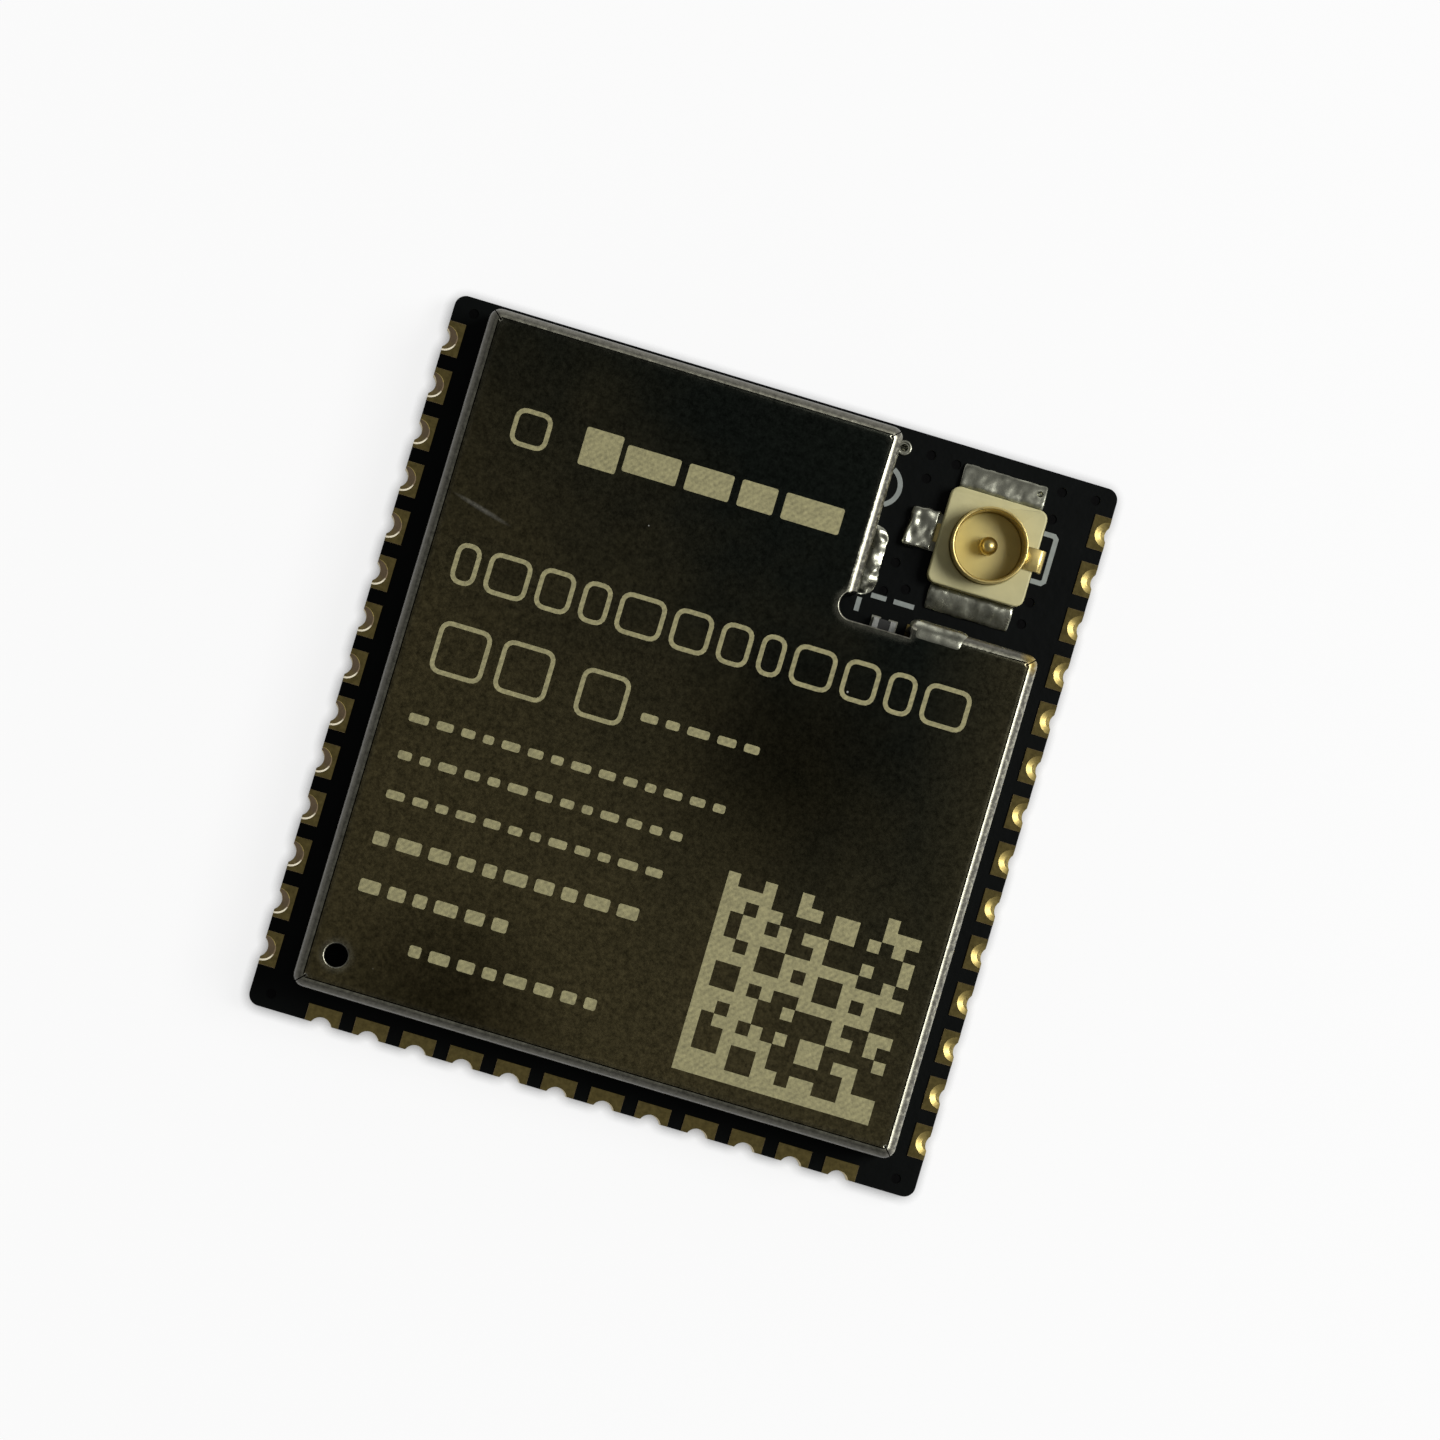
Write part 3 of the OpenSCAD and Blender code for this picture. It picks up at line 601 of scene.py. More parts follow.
def metal_finish(name, colour, roughness, grain, unevenness, dent):
    """A bare metal with mottled colour and roughness and a lumpy skin."""
    material, shader = new_finish(name, metallic=1.0)
    coords = add_node(material, "ShaderNodeTexCoord").outputs["Object"]
    mottle = add_node(material, "ShaderNodeTexNoise",
                      {"Vector": coords, "Scale": per_mm(grain), "Detail": 5.0,
                       "Roughness": 0.6})
    patches = add_node(material, "ShaderNodeMapRange",
                       {"Value": mottle.outputs["Fac"], "From Min": 0.32, "From Max": 0.68})
    low, high = shades(colour, 1 - unevenness, 1 + unevenness)
    tone = add_node(material, "ShaderNodeMix", {0: patches.outputs[0], 6: low, 7: high},
                    data_type="RGBA")
    link(material, tone.outputs[2], shader.inputs["Base Color"])
    sheen = add_node(material, "ShaderNodeMapRange",
                     {"Value": patches.outputs[0],
                      "To Min": roughness * 1.3, "To Max": roughness * 0.75})
    link(material, sheen.outputs[0], shader.inputs["Roughness"])
    bump = add_node(material, "ShaderNodeBump",
                    {"Strength": 0.6, "Distance": dent * MM, "Height": mottle.outputs["Fac"]})
    link(material, bump.outputs[0], shader.inputs["Normal"])
    return material


def immersion_gold(colours):
    """Thin gold over nickel on the pads: warm, satin, a little uneven, and matt in the dishes, with
    grey nickel in the bowls and a painted highlight, a near white line on the steepest rims that
    face +Y."""
    material = metal_finish("immersion_gold", colours.pad_gold, 0.16, 0.14, 0.25, 0.006)
    shader = material.node_tree.nodes["Principled BSDF"]
    normal = add_node(material, "ShaderNodeNewGeometry").outputs["Normal"]
    ways = add_node(material, "ShaderNodeSeparateXYZ", {0: normal}).outputs
    upright = ways["Z"]
    dull = add_node(material, "ShaderNodeMapRange",
                    {"Value": upright, "From Min": 0.9995, "From Max": 0.9977, "To Min": 0.16,
                     "To Max": 0.4})
    link(material, dull.outputs[0], shader.inputs["Roughness"])
    tone = shader.inputs["Base Color"].links[0].from_socket
    # Grey nickel in the bowls, and a painted highlight on the rims: the direction of the normals
    # along which each comes in, from where to where, the slope that it shows on, as the upright part
    # of the normals, and the slope's spread.
    others = (("Z", 0.92, 0.89, 0.8, 0.11, colours.nickel),
              ("Y", 0.1, 0.4, 0.78, 0.06, colours.rim_highlight))
    for way, first, last, slope, spread, colour in others:
        coming = add_node(material, "ShaderNodeMapRange",
                          {"Value": ways[way], "From Min": first, "From Max": last})
        sloped = add_node(material, "ShaderNodeMath", {0: upright, 1: slope, 2: spread},
                          operation="COMPARE")
        share = add_node(material, "ShaderNodeMath",
                         {0: coming.outputs[0], 1: sloped.outputs[0]}, operation="MULTIPLY")
        tone = add_node(material, "ShaderNodeMix",
                        {0: share.outputs[0], 6: tone, 7: rgba(colour)},
                        data_type="RGBA").outputs[2]
    link(material, tone, shader.inputs["Base Color"])
    return material


def reflowed_solder(colours):
    """Tin alloy that froze where it lay: grey, lumpy, with bright and dull patches."""
    return metal_finish("reflowed_solder", colours.solder, 0.3, 0.38, 0.6, 0.012)


def gold_plated_bronze(colours):
    """Plated spring bronze of the stamped contacts: polished and even."""
    return metal_finish("gold_plated_bronze", colours.contact_gold, 0.33, 0.3, 0.1, 0.002)


def tin_plating(colours):
    """Matt tin on leads and end caps: pale grey and fine-grained."""
    return metal_finish("tin_plating", linear("#a9aaa4"), 0.36, 0.1, 0.2, 0.01)


def tarnished_nickel_silver(colours):
    """Rolled nickel-silver sheet, tarnished dark on the lid and rubbed bright on its folds: a fine
    even grain, a painted reflection that makes the lid lighter and browner towards one end and
    towards its right side, darker clouds, a painted highlight on the folds' ridge and on scuffs that
    face the lamp, painted shade on the folds that face away from the lamp, a few pale specks and a
    scratch."""
    material, shader = new_finish("tarnished_nickel_silver")
    coords = add_node(material, "ShaderNodeTexCoord").outputs["Object"]
    grain = add_node(material, "ShaderNodeTexNoise",
                     {"Vector": coords, "Scale": per_mm(0.13), "Detail": 6.0,
                      "Roughness": 0.75}).outputs["Fac"]
    cloud = add_node(material, "ShaderNodeTexNoise",
                     {"Vector": coords, "Scale": per_mm(2.2), "Detail": 4.0}).outputs["Fac"]
    # Painted reflection: the lid is painted lighter and browner towards one end and towards its
    # right side.
    along = add_node(material, "ShaderNodeVectorMath", {0: coords, 1: (0.75, 1, 0)},
                     operation="DOT_PRODUCT").outputs["Value"]
    drift = add_node(material, "ShaderNodeMath", {0: cloud, 1: 7 * MM, 2: along},
                     operation="MULTIPLY_ADD")
    warm_reflection = add_node(material, "ShaderNodeMapRange",
                       {"Value": drift.outputs[0], "From Min": 11.5 * MM, "From Max": -5.5 * MM},
                       interpolation_type="SMOOTHSTEP")
    across = add_node(material, "ShaderNodeSeparateXYZ", {0: coords}).outputs["X"]
    right_side_reflection = add_node(material, "ShaderNodeMapRange",
                     {"Value": across, "From Min": 5 * MM, "From Max": 8.5 * MM, "To Max": 0.5})
    warm_reflection = add_node(material, "ShaderNodeMath", {0: warm_reflection.outputs[0], 1: right_side_reflection.outputs[0]},
                       operation="MAXIMUM")
    lid = add_node(material, "ShaderNodeMix",
                   {0: warm_reflection.outputs[0], 6: rgba(colours.sheet), 7: rgba(colours.sheet_warm_reflection)},
                   data_type="RGBA")
    for (x, y), radius in LID_CLOUDS:
        reach = add_node(material, "ShaderNodeVectorMath",
                         {0: coords, 1: (x * MM, y * MM, LID * MM)}, operation="DISTANCE")
        shade = add_node(material, "ShaderNodeMapRange",
                         {"Value": reach.outputs["Value"], "From Max": radius * MM,
                          "To Min": 0.4, "To Max": 1.0}, interpolation_type="SMOOTHSTEP")
        lid = add_node(material, "ShaderNodeMix",
                       {0: 1.0, 6: lid.outputs[2], 7: shade.outputs[0]},
                       data_type="RGBA", blend_type="MULTIPLY")
    dust = add_node(material, "ShaderNodeTexVoronoi", {"Vector": coords, "Scale": per_mm(1.3)})
    chosen = add_node(material, "ShaderNodeMath", {0: dust.outputs["Color"], 1: 0.72},
                      operation="GREATER_THAN")
    speck = add_node(material, "ShaderNodeMapRange",
                     {"Value": dust.outputs["Distance"], "From Min": 0.03, "From Max": 0.02})
    speck = add_node(material, "ShaderNodeMath", {0: speck.outputs[0], 1: chosen.outputs[0]},
                     operation="MULTIPLY")
    normal = add_node(material, "ShaderNodeNewGeometry").outputs["Normal"]
    upright = add_node(material, "ShaderNodeSeparateXYZ", {0: normal}).outputs["Z"]
    tilt = add_node(material, "ShaderNodeMath", {0: 1.0, 1: upright},
                    operation="SUBTRACT").outputs[0]
    tooth = add_node(material, "ShaderNodeMapRange",
                     {"Value": grain, "From Min": 0.3, "From Max": 0.7, "To Min": 0.4,
                      "To Max": 2.0})
    ragged = add_node(material, "ShaderNodeMath", {0: tilt, 1: tooth.outputs[0]},
                      operation="MULTIPLY")
    rubbed = add_node(material, "ShaderNodeMapRange",
                      {"Value": ragged.outputs[0], "From Min": 0.008, "From Max": 0.03})
    rounded = add_node(material, "ShaderNodeBevel", {"Radius": 0.35 * MM}, samples=4)
    near_fold = add_node(material, "ShaderNodeSeparateXYZ", {0: rounded.outputs[0]}).outputs["Z"]
    haze = add_node(material, "ShaderNodeMapRange",
                    {"Value": near_fold, "From Min": 0.996, "From Max": 0.88, "To Max": 0.24})
    rubbed = add_node(material, "ShaderNodeMath", {0: rubbed.outputs[0], 1: haze.outputs[0]},
                      operation="MAXIMUM")
    # Partly rubbed metal, partly a painted highlight: the folds' ridge, where the lamp's highlight
    # falls, is painted brighter.
    ridge = add_node(material, "ShaderNodeMapRange",
                     {"Value": tilt, "From Min": 0.15, "From Max": 0.06})
    fold = add_node(material, "ShaderNodeMix",
                    {0: ridge.outputs[0], 6: rgba(colours.sheet_worn),
                     7: rgba(colours.sheet_rub_and_highlight)}, data_type="RGBA")
    reach = add_node(material, "ShaderNodeVectorMath",
                     {0: coords, 1: tuple(MM * v for v in STAIN)}, operation="DISTANCE")
    stain = add_node(material, "ShaderNodeMapRange",
                     {"Value": reach.outputs["Value"], "From Min": 0.5 * MM,
                      "From Max": 0.25 * MM})
    fold = add_node(material, "ShaderNodeMix",
                    {0: stain.outputs[0], 6: fold.outputs[2], 7: rgba(colours.flux_stain)},
                    data_type="RGBA")
    # Partly scuffs, partly a painted highlight: faces that look towards +X, the lamp's side, are
    # painted bright just under the lid.
    outward = add_node(material, "ShaderNodeSeparateXYZ", {0: normal}).outputs["X"]
    scuff_and_highlight = add_node(material, "ShaderNodeMath", {0: outward, 1: tooth.outputs[0]},
                     operation="MULTIPLY")
    scuff_and_highlight = add_node(material, "ShaderNodeMapRange",
                     {"Value": scuff_and_highlight.outputs[0], "From Min": 0.8, "From Max": 1.3})
    height = add_node(material, "ShaderNodeSeparateXYZ", {0: coords}).outputs["Z"]
    upper = add_node(material, "ShaderNodeMapRange",
                     {"Value": height, "From Min": (LID - 0.6) * MM, "From Max": (LID - 0.3) * MM})
    scuff_and_highlight = add_node(material, "ShaderNodeMath", {0: scuff_and_highlight.outputs[0], 1: upper.outputs[0]},
                     operation="MULTIPLY")
    fold = add_node(material, "ShaderNodeMix",
                    {0: scuff_and_highlight.outputs[0], 6: fold.outputs[2], 7: rgba(colours.sheet_rub_and_highlight)},
                    data_type="RGBA")
    # Painted shade: folds that face away from the lamp are darkened, to about half at the far side.
    facing_lamp = add_node(material, "ShaderNodeVectorMath", {0: normal, 1: (0.8, 0.6, 0)},
                      operation="DOT_PRODUCT")
    painted_side_shade = add_node(material, "ShaderNodeMapRange",
                       {"Value": facing_lamp.outputs["Value"], "From Min": -0.25, "From Max": 0.2,
                        "To Min": 0.52, "To Max": 1.0})
    fold = add_node(material, "ShaderNodeMix",
                    {0: 1.0, 6: fold.outputs[2], 7: painted_side_shade.outputs[0]},
                    data_type="RGBA", blend_type="MULTIPLY")
    colour = add_node(material, "ShaderNodeMix",
                      {0: rubbed.outputs[0], 6: lid.outputs[2], 7: fold.outputs[2]},
                      data_type="RGBA")
    (x, y), (half, thin), turn = SCRATCH
    streak = add_node(material, "ShaderNodeMapping",
                      {"Vector": coords, "Location": (x * MM, y * MM, LID * MM),
                       "Rotation": (0, 0, math.radians(turn)), "Scale": (half * MM, thin * MM, 1)},
                      vector_type="TEXTURE")
    reach = add_node(material, "ShaderNodeVectorMath", {0: streak.outputs[0]},
                     operation="LENGTH")
    scratched = add_node(material, "ShaderNodeMapRange",
                         {"Value": reach.outputs["Value"], "From Min": 1.0, "From Max": 0.0,
                          "To Max": 0.9})
    colour = add_node(material, "ShaderNodeMix",
                      {0: scratched.outputs[0], 6: colour.outputs[2],
                       7: rgba(colours.sheet_worn)}, data_type="RGBA")
    pores = add_node(material, "ShaderNodeMapRange",
                     {"Value": grain, "From Min": 0.3, "From Max": 0.7, "To Min": 0.55,
                      "To Max": 1.45})
    colour = add_node(material, "ShaderNodeMix",
                      {0: 1.0, 6: colour.outputs[2], 7: pores.outputs[0]},
                      data_type="RGBA", blend_type="MULTIPLY")
    colour = add_node(material, "ShaderNodeMix",
                      {0: speck.outputs[0], 6: colour.outputs[2], 7: rgba(colours.dust)},
                      data_type="RGBA")
    link(material, colour.outputs[2], shader.inputs["Base Color"])
    bare = add_node(material, "ShaderNodeMath", {0: 1.0, 1: speck.outputs[0]},
                    operation="SUBTRACT")
    link(material, bare.outputs[0], shader.inputs["Metallic"])
    sheen = add_node(material, "ShaderNodeMapRange",
                     {"Value": grain, "From Min": 0.3, "From Max": 0.7, "To Min": 0.34,
                      "To Max": 0.46})
    link(material, sheen.outputs[0], shader.inputs["Roughness"])
    bump = add_node(material, "ShaderNodeBump",
                    {"Strength": 0.4, "Distance": 0.008 * MM, "Height": grain})
    link(material, bump.outputs[0], shader.inputs["Normal"])
    return material


def etched_sheet(colours):
    """Sheet burnt open by a laser in close strokes: pale khaki, matt and hatched. Real
    strokes lie about 0.03 mm apart and are drawn 0.07 mm apart so that they show."""
    material, shader = new_finish("etched_sheet", metallic=0.4, roughness=0.55)
    coords = add_node(material, "ShaderNodeTexCoord").outputs["Object"]
    turned = add_node(material, "ShaderNodeMapping",
                      {"Vector": coords, "Rotation": (0, 0, QUARTER / 2)})
    strokes = add_node(material, "ShaderNodeTexWave",
                       {"Vector": turned.outputs[0], "Scale": per_mm(2 * math.pi * 0.07),
                        "Distortion": 1.2, "Detail": 2.0, "Detail Scale": 2.0}).outputs["Fac"]
    crust = add_node(material, "ShaderNodeTexNoise",
                     {"Vector": coords, "Scale": per_mm(0.09), "Detail": 4.0}).outputs["Fac"]
    burn = add_node(material, "ShaderNodeMath", {0: strokes, 1: 0.12, 2: crust},
                    operation="MULTIPLY_ADD")
    low, high = shades(colours.etched, 0.35, 1.4)
    tone = add_node(material, "ShaderNodeMix", {0: burn.outputs[0], 6: low, 7: high},
                    data_type="RGBA")
    link(material, tone.outputs[2], shader.inputs["Base Color"])
    bump = add_node(material, "ShaderNodeBump",
                    {"Strength": 0.4, "Distance": 0.01 * MM, "Height": burn.outputs[0]})
    link(material, bump.outputs[0], shader.inputs["Normal"])
    return material


def matt_finish(name, colour, roughness, grain, unevenness, dent):
    """A moulded or fired material: even colour with soft clouds and a fine tooth."""
    material, shader = new_finish(name, roughness=roughness)
    coords = add_node(material, "ShaderNodeTexCoord").outputs["Object"]
    cloud = add_node(material, "ShaderNodeTexNoise",
                     {"Vector": coords, "Scale": per_mm(grain), "Detail": 5.0})
    low, high = shades(colour, 1 - unevenness, 1 + unevenness)
    tone = add_node(material, "ShaderNodeMix", {0: cloud.outputs["Fac"], 6: low, 7: high},
                    data_type="RGBA")
    link(material, tone.outputs[2], shader.inputs["Base Color"])
    bump = add_node(material, "ShaderNodeBump",
                    {"Strength": 0.3, "Distance": dent * MM, "Height": cloud.outputs["Fac"]})
    link(material, bump.outputs[0], shader.inputs["Normal"])
    return material


def ivory_polymer(colours):
    """Moulded liquid-crystal polymer: ivory, satin, with faint flow clouds, and a painted yellow
    reflection of the gold ring on its floor inside the ring."""
    material = matt_finish("ivory_polymer", colours.insulator, 0.45, 0.5, 0.16, 0.01)
    shader = material.node_tree.nodes["Principled BSDF"]
    coords = add_node(material, "ShaderNodeTexCoord").outputs["Object"]
    plan = add_node(material, "ShaderNodeVectorMath", {0: coords, 1: (1, 1, 0)},
                    operation="MULTIPLY")
    reach = add_node(material, "ShaderNodeVectorMath",
                     {0: plan.outputs[0], 1: (SOCKET_X * MM, SOCKET_Y * MM, 0)},
                     operation="DISTANCE")
    inside = add_node(material, "ShaderNodeMath", {0: reach.outputs["Value"], 1: 0.94 * MM},
                      operation="LESS_THAN")
    tone = shader.inputs["Base Color"].links[0].from_socket
    # Painted reflection: the floor inside the ring is tinted yellow for the light that the gold ring
    # throws on it.
    gold_bounce = add_node(material, "ShaderNodeMix",
                        {0: inside.outputs[0], 6: tone, 7: (1.03, 0.93, 0.64, 1)},
                        data_type="RGBA", blend_type="MULTIPLY")
    link(material, gold_bounce.outputs[2], shader.inputs["Base Color"])
    return material


def printed_ink(colours):
    """White epoxy ink, thin enough for the black mask to grey it."""
    return matt_finish("printed_ink", colours.ink, 0.6, 0.15, 0.25, 0.01)


FINISHES = {
    "solder_mask": black_solder_mask,
    "pad_gold": immersion_gold,
    "shield_sheet": tarnished_nickel_silver,
    "solder": reflowed_solder,
    "socket_polymer": ivory_polymer,
    "contact_gold": gold_plated_bronze,
    "lead_tin": tin_plating,
    # Filled epoxy of the packages: black, matt, with a sparkle of filler.
    "package_resin": lambda colours: matt_finish(
        "moulding_compound", linear("#222224"), 0.6, 0.08, 0.3, 0.01),
    # Fired alumina of the crystal's base: chalky and pale.
    "crystal_ceramic": lambda colours: matt_finish(
        "alumina", linear("#d8d2c4"), 0.7, 0.1, 0.08, 0.008),
    # Nickel-plated lid of the crystal: warm grey and satin.
    "crystal_metal": lambda colours: metal_finish(
        "nickel_plated_lid", linear("#c4bf9c"), 0.3, 0.3, 0.15, 0.006),
    # Fired titanate of the capacitors: brown and dry.
    "capacitor_ceramic": lambda colours: matt_finish(
        "titanate_ceramic", linear("#8a6a48"), 0.6, 0.08, 0.15, 0.008),
    # Pressed ferrite of the inductor: dark grey and sandy.
    "inductor_ferrite": lambda colours: matt_finish(
        "pressed_ferrite", linear("#2b2b28"), 0.7, 0.06, 0.3, 0.015),
    "etched": etched_sheet,
    "ink": printed_ink,
}
made_finishes = {}


def finish_for(slot):
    """The finish of a slot, made when it is first asked for."""
    if slot not in made_finishes:
        made_finishes[slot] = FINISHES[slot](bpy.context.scene.radio_colours)
    return made_finishes[slot]


# Pieces


class RADIO_OT_board_and_parts(Operator):
    """Give the board, its lands and the parts under the can their finishes"""

    bl_idname = "radio.board_and_parts"
    bl_label = "Board and parts"

    # Lands that solder has covered.
    tinned = ("component_lands", "socket_lands")

    def execute(self, context):
        slots = {row["node"]: row["material_slot"] for row in frame["record"]["subparts"]}
        for name, node in frame["nodes"].items():
            node.data.materials.clear()
            slot = "solder" if name in self.tinned else slots[name]
            node.data.materials.append(finish_for(slot))
        return {"FINISHED"}


class RADIO_OT_edge_pads(Operator):
    """Model one plated half-hole and repeat it along three edges"""

    bl_idname = "radio.edge_pads"
    bl_label = "Edge pads"

    # Rounding of the lands' edges, where the plating wraps the copper.
    soft_edge = 0.006
    # Dish round the half-holes of two rows: radius of its bowl, slopes of the bowl and of the
    # rim round it in degrees, depth of the rim and the tilt that milling gave the dish.
    dishes = {"left": (0.31, 28, 45, 0.026, 3.4), "right": (0.18, 3, 20, 0.055, 0)}
    # Radius and depth of each row's half-holes where the plating leaves them open.
    bites = {"left": (0.3, 0.13), "bottom": (0.3, 0.18), "right": (0.3, 0.07)}

    def dish(self, radius, bowl, rim, depth, tilt):
        """Cutter of a bowl with a rim that flares out above the pad."""
        reach = 2 * radius
        rise = reach * math.tan(math.radians(rim))
        low = -radius * math.tan(math.radians(bowl))
        dish = lathe("dish", [(0, low), (radius, 0), (radius + reach, rise), (0, rise)], 96)
        with editing(dish):
            bpy.ops.transform.rotate(value=math.radians(tilt), orient_axis="X",
                                     center_override=(0, 0, 0))
        return place(dish, (0, 0, SEAT - depth))

    def one_pad(self, sizes, edge):
        """One pad with its edge at X = 0 and the board on its -X side."""
        drill = in_mm(sizes.drill_radius)
        half = in_mm(sizes.width) / 2
        thick = SEAT - BOARD_TOP
        pad = rod("edge_pad", drill, 0, SEAT)
        for reach, low in ((in_mm(sizes.top_reach), BOARD_TOP), (in_mm(sizes.under_reach), 0)):
            land = block("land", (-reach, -half, low), (reach, half, low + thick))
            combine(pad, land, "UNION")
        if edge in self.dishes:
            combine(pad, self.dish(*self.dishes[edge]), "DIFFERENCE")
        hole, depth = self.bites[edge]
        combine(pad, rod("hole", hole, -1, LID, (hole - depth, 0)), "DIFFERENCE")
        with editing(pad):
            bpy.ops.mesh.bisect(plane_co=(0, 0, 0), plane_no=(1, 0, 0), use_fill=True,
                                clear_outer=True)
            close_up()
            pick("EDGE", lambda edge: all(
                v.co.z > SEAT - NEAR and (abs(v.co.y) > half - NEAR
                                          or v.co.x < NEAR - in_mm(sizes.top_reach))
                for v in edge.verts))
            bpy.ops.mesh.bevel(offset=self.soft_edge, segments=1, affect="EDGES")
        return pad

    def execute(self, context):
        sizes = context.scene.radio_edge_pads
        rows = {
            "left": (BOARD_LOW.x, 2 * QUARTER),
            "bottom": (BOARD_LOW.y, -QUARTER),
            "right": (BOARD_HIGH.x, 0),
        }
        for edge, (offset, turn) in rows.items():
            node = "castellations_" + edge
            low, high = node_box(node)
            span = high.x - low.x if edge == "bottom" else high.y - low.y
            gaps = round((span - in_mm(sizes.width)) / in_mm(sizes.pitch))
            row = self.one_pad(sizes, edge)
            row.name = row.data.name = "edge_pads_" + edge
            modify(row, "ARRAY", count=gaps + 1, use_relative_offset=False,
                   use_constant_offset=True, constant_offset_displace=(0, in_mm(sizes.pitch), 0))
            shift = -gaps * in_mm(sizes.pitch) / 2
            place(row, (0, shift, 0))
            middle = (low + high) / 2
            spot = (middle.x, offset, 0) if edge == "bottom" else (offset, middle.y, 0)
            place(row, spot, turn)
            finish(row, "pad_gold", [node], angle=15)
            modify(row, "WEIGHTED_NORMAL", keep_sharp=True)
        return {"FINISHED"}


class RADIO_OT_shield_can(Operator):
    """Model the folded shield can with its seams, notch, relief cut and vent hole"""

    bl_idname = "radio.shield_can"
    bl_label = "Shield can"

    # Facets across a fold.
    fold_steps = 10
    # Rounding of the fold's end beside the notch's open gap.
    gap_corner = 0.2
    # Distances of the vent hole from the can's left and bottom faces.
    vent_place = (0.9, 1.0)
    # Rounding of the lid's cut edges.
    cut_edge = 0.04

    def is_lid_rim(self, edge):
        """Whether an edge is one where the lid's top was cut through."""
        slopes = sorted(face.normal.z for face in edge.link_faces)
        return len(slopes) == 2 and abs(slopes[0]) < 0.1 and slopes[1] > 0.99

    def seam_cutter(self, corner, way, fold, width):
        """A thin upright blade along the mitre of an outer corner."""
        out = Vector(way).normalized()
        side = Vector((-out.y, out.x)) * width / 2
        inner = Vector(corner) - Vector(way) * fold
        outer = Vector(corner) + out * fold
        outline = [inner + side, inner - side, outer - side, outer + side]
        return prism("seam", [tuple(point) for point in outline], 0, LID + 1)

    def execute(self, context):
        sizes = context.scene.radio_can
        fold = in_mm(sizes.fold_radius)
        left, bottom, right, top = CAN_LOW.x, CAN_LOW.y, CAN_HIGH.x, CAN_HIGH.y
        notch_x = right - in_mm(sizes.notch_width)
        notch_y = top - in_mm(sizes.notch_length)
        can = prism("folded_can", [(left, bottom), (right, bottom), (right, notch_y),
                                   (notch_x, notch_y), (notch_x, top), (left, top)], SEAT, LID)
        inner = Vector((notch_x, notch_y))
        with editing(can):
            pick("EDGE", lambda edge: max(v.co.z for v in edge.verts) > LID - NEAR
                 and not all((v.co.xy - inner).length < NEAR for v in edge.verts))
            bpy.ops.mesh.bevel(offset=fold, segments=self.fold_steps, affect="EDGES")
            pick("FACE", lambda face: face.normal.z < -0.9)
            bpy.ops.mesh.delete(type="ONLY_FACE")
        modify(can, "SOLIDIFY", thickness=in_mm(sizes.sheet), offset=-1, use_even_offset=True)

        corners = {(left, bottom): (-1, -1), (right, bottom): (1, -1), (right, notch_y): (1, 1),
                   (notch_x, top): (1, 1), (left, top): (-1, 1)}
        for corner, way in corners.items():
            combine(can, self.seam_cutter(corner, way, fold, in_mm(sizes.seam)), "DIFFERENCE")
        relief = in_mm(sizes.relief_radius)
        relief_y = notch_y - in_mm(sizes.relief_depth)
        gap_end = notch_x + in_mm(sizes.gap)
        round_end = arc((gap_end + self.gap_corner, notch_y - self.gap_corner),
                        self.gap_corner, 180, 90, 8)
        opening = [*arc((notch_x, relief_y), relief, 90, 270, 32), (gap_end, relief_y - relief),
                   *round_end, (gap_end + self.gap_corner, relief_y + relief)]
        combine(can, prism("opening", opening, 0, LID + 1), "DIFFERENCE")
        vent = (left + self.vent_place[0], bottom + self.vent_place[1])
        combine(can, rod("vent", in_mm(sizes.vent_radius), LID - 1, LID + 1, vent, 64),
                "DIFFERENCE")
        with editing(can):
            bpy.ops.mesh.remove_doubles(threshold=NEAR)
            bpy.ops.mesh.dissolve_limited(angle_limit=math.radians(0.5))
            pick("EDGE", self.is_lid_rim)
            bpy.ops.mesh.bevel(offset=self.cut_edge, segments=3, affect="EDGES",
                               clamp_overlap=False)
            bpy.ops.mesh.select_all(action="SELECT")
            bpy.ops.mesh.dissolve_degenerate(threshold=NEAR)
        finish(can, "shield_sheet", ["shield_can"])
        modify(can, "WEIGHTED_NORMAL", keep_sharp=True)
        return {"FINISHED"}


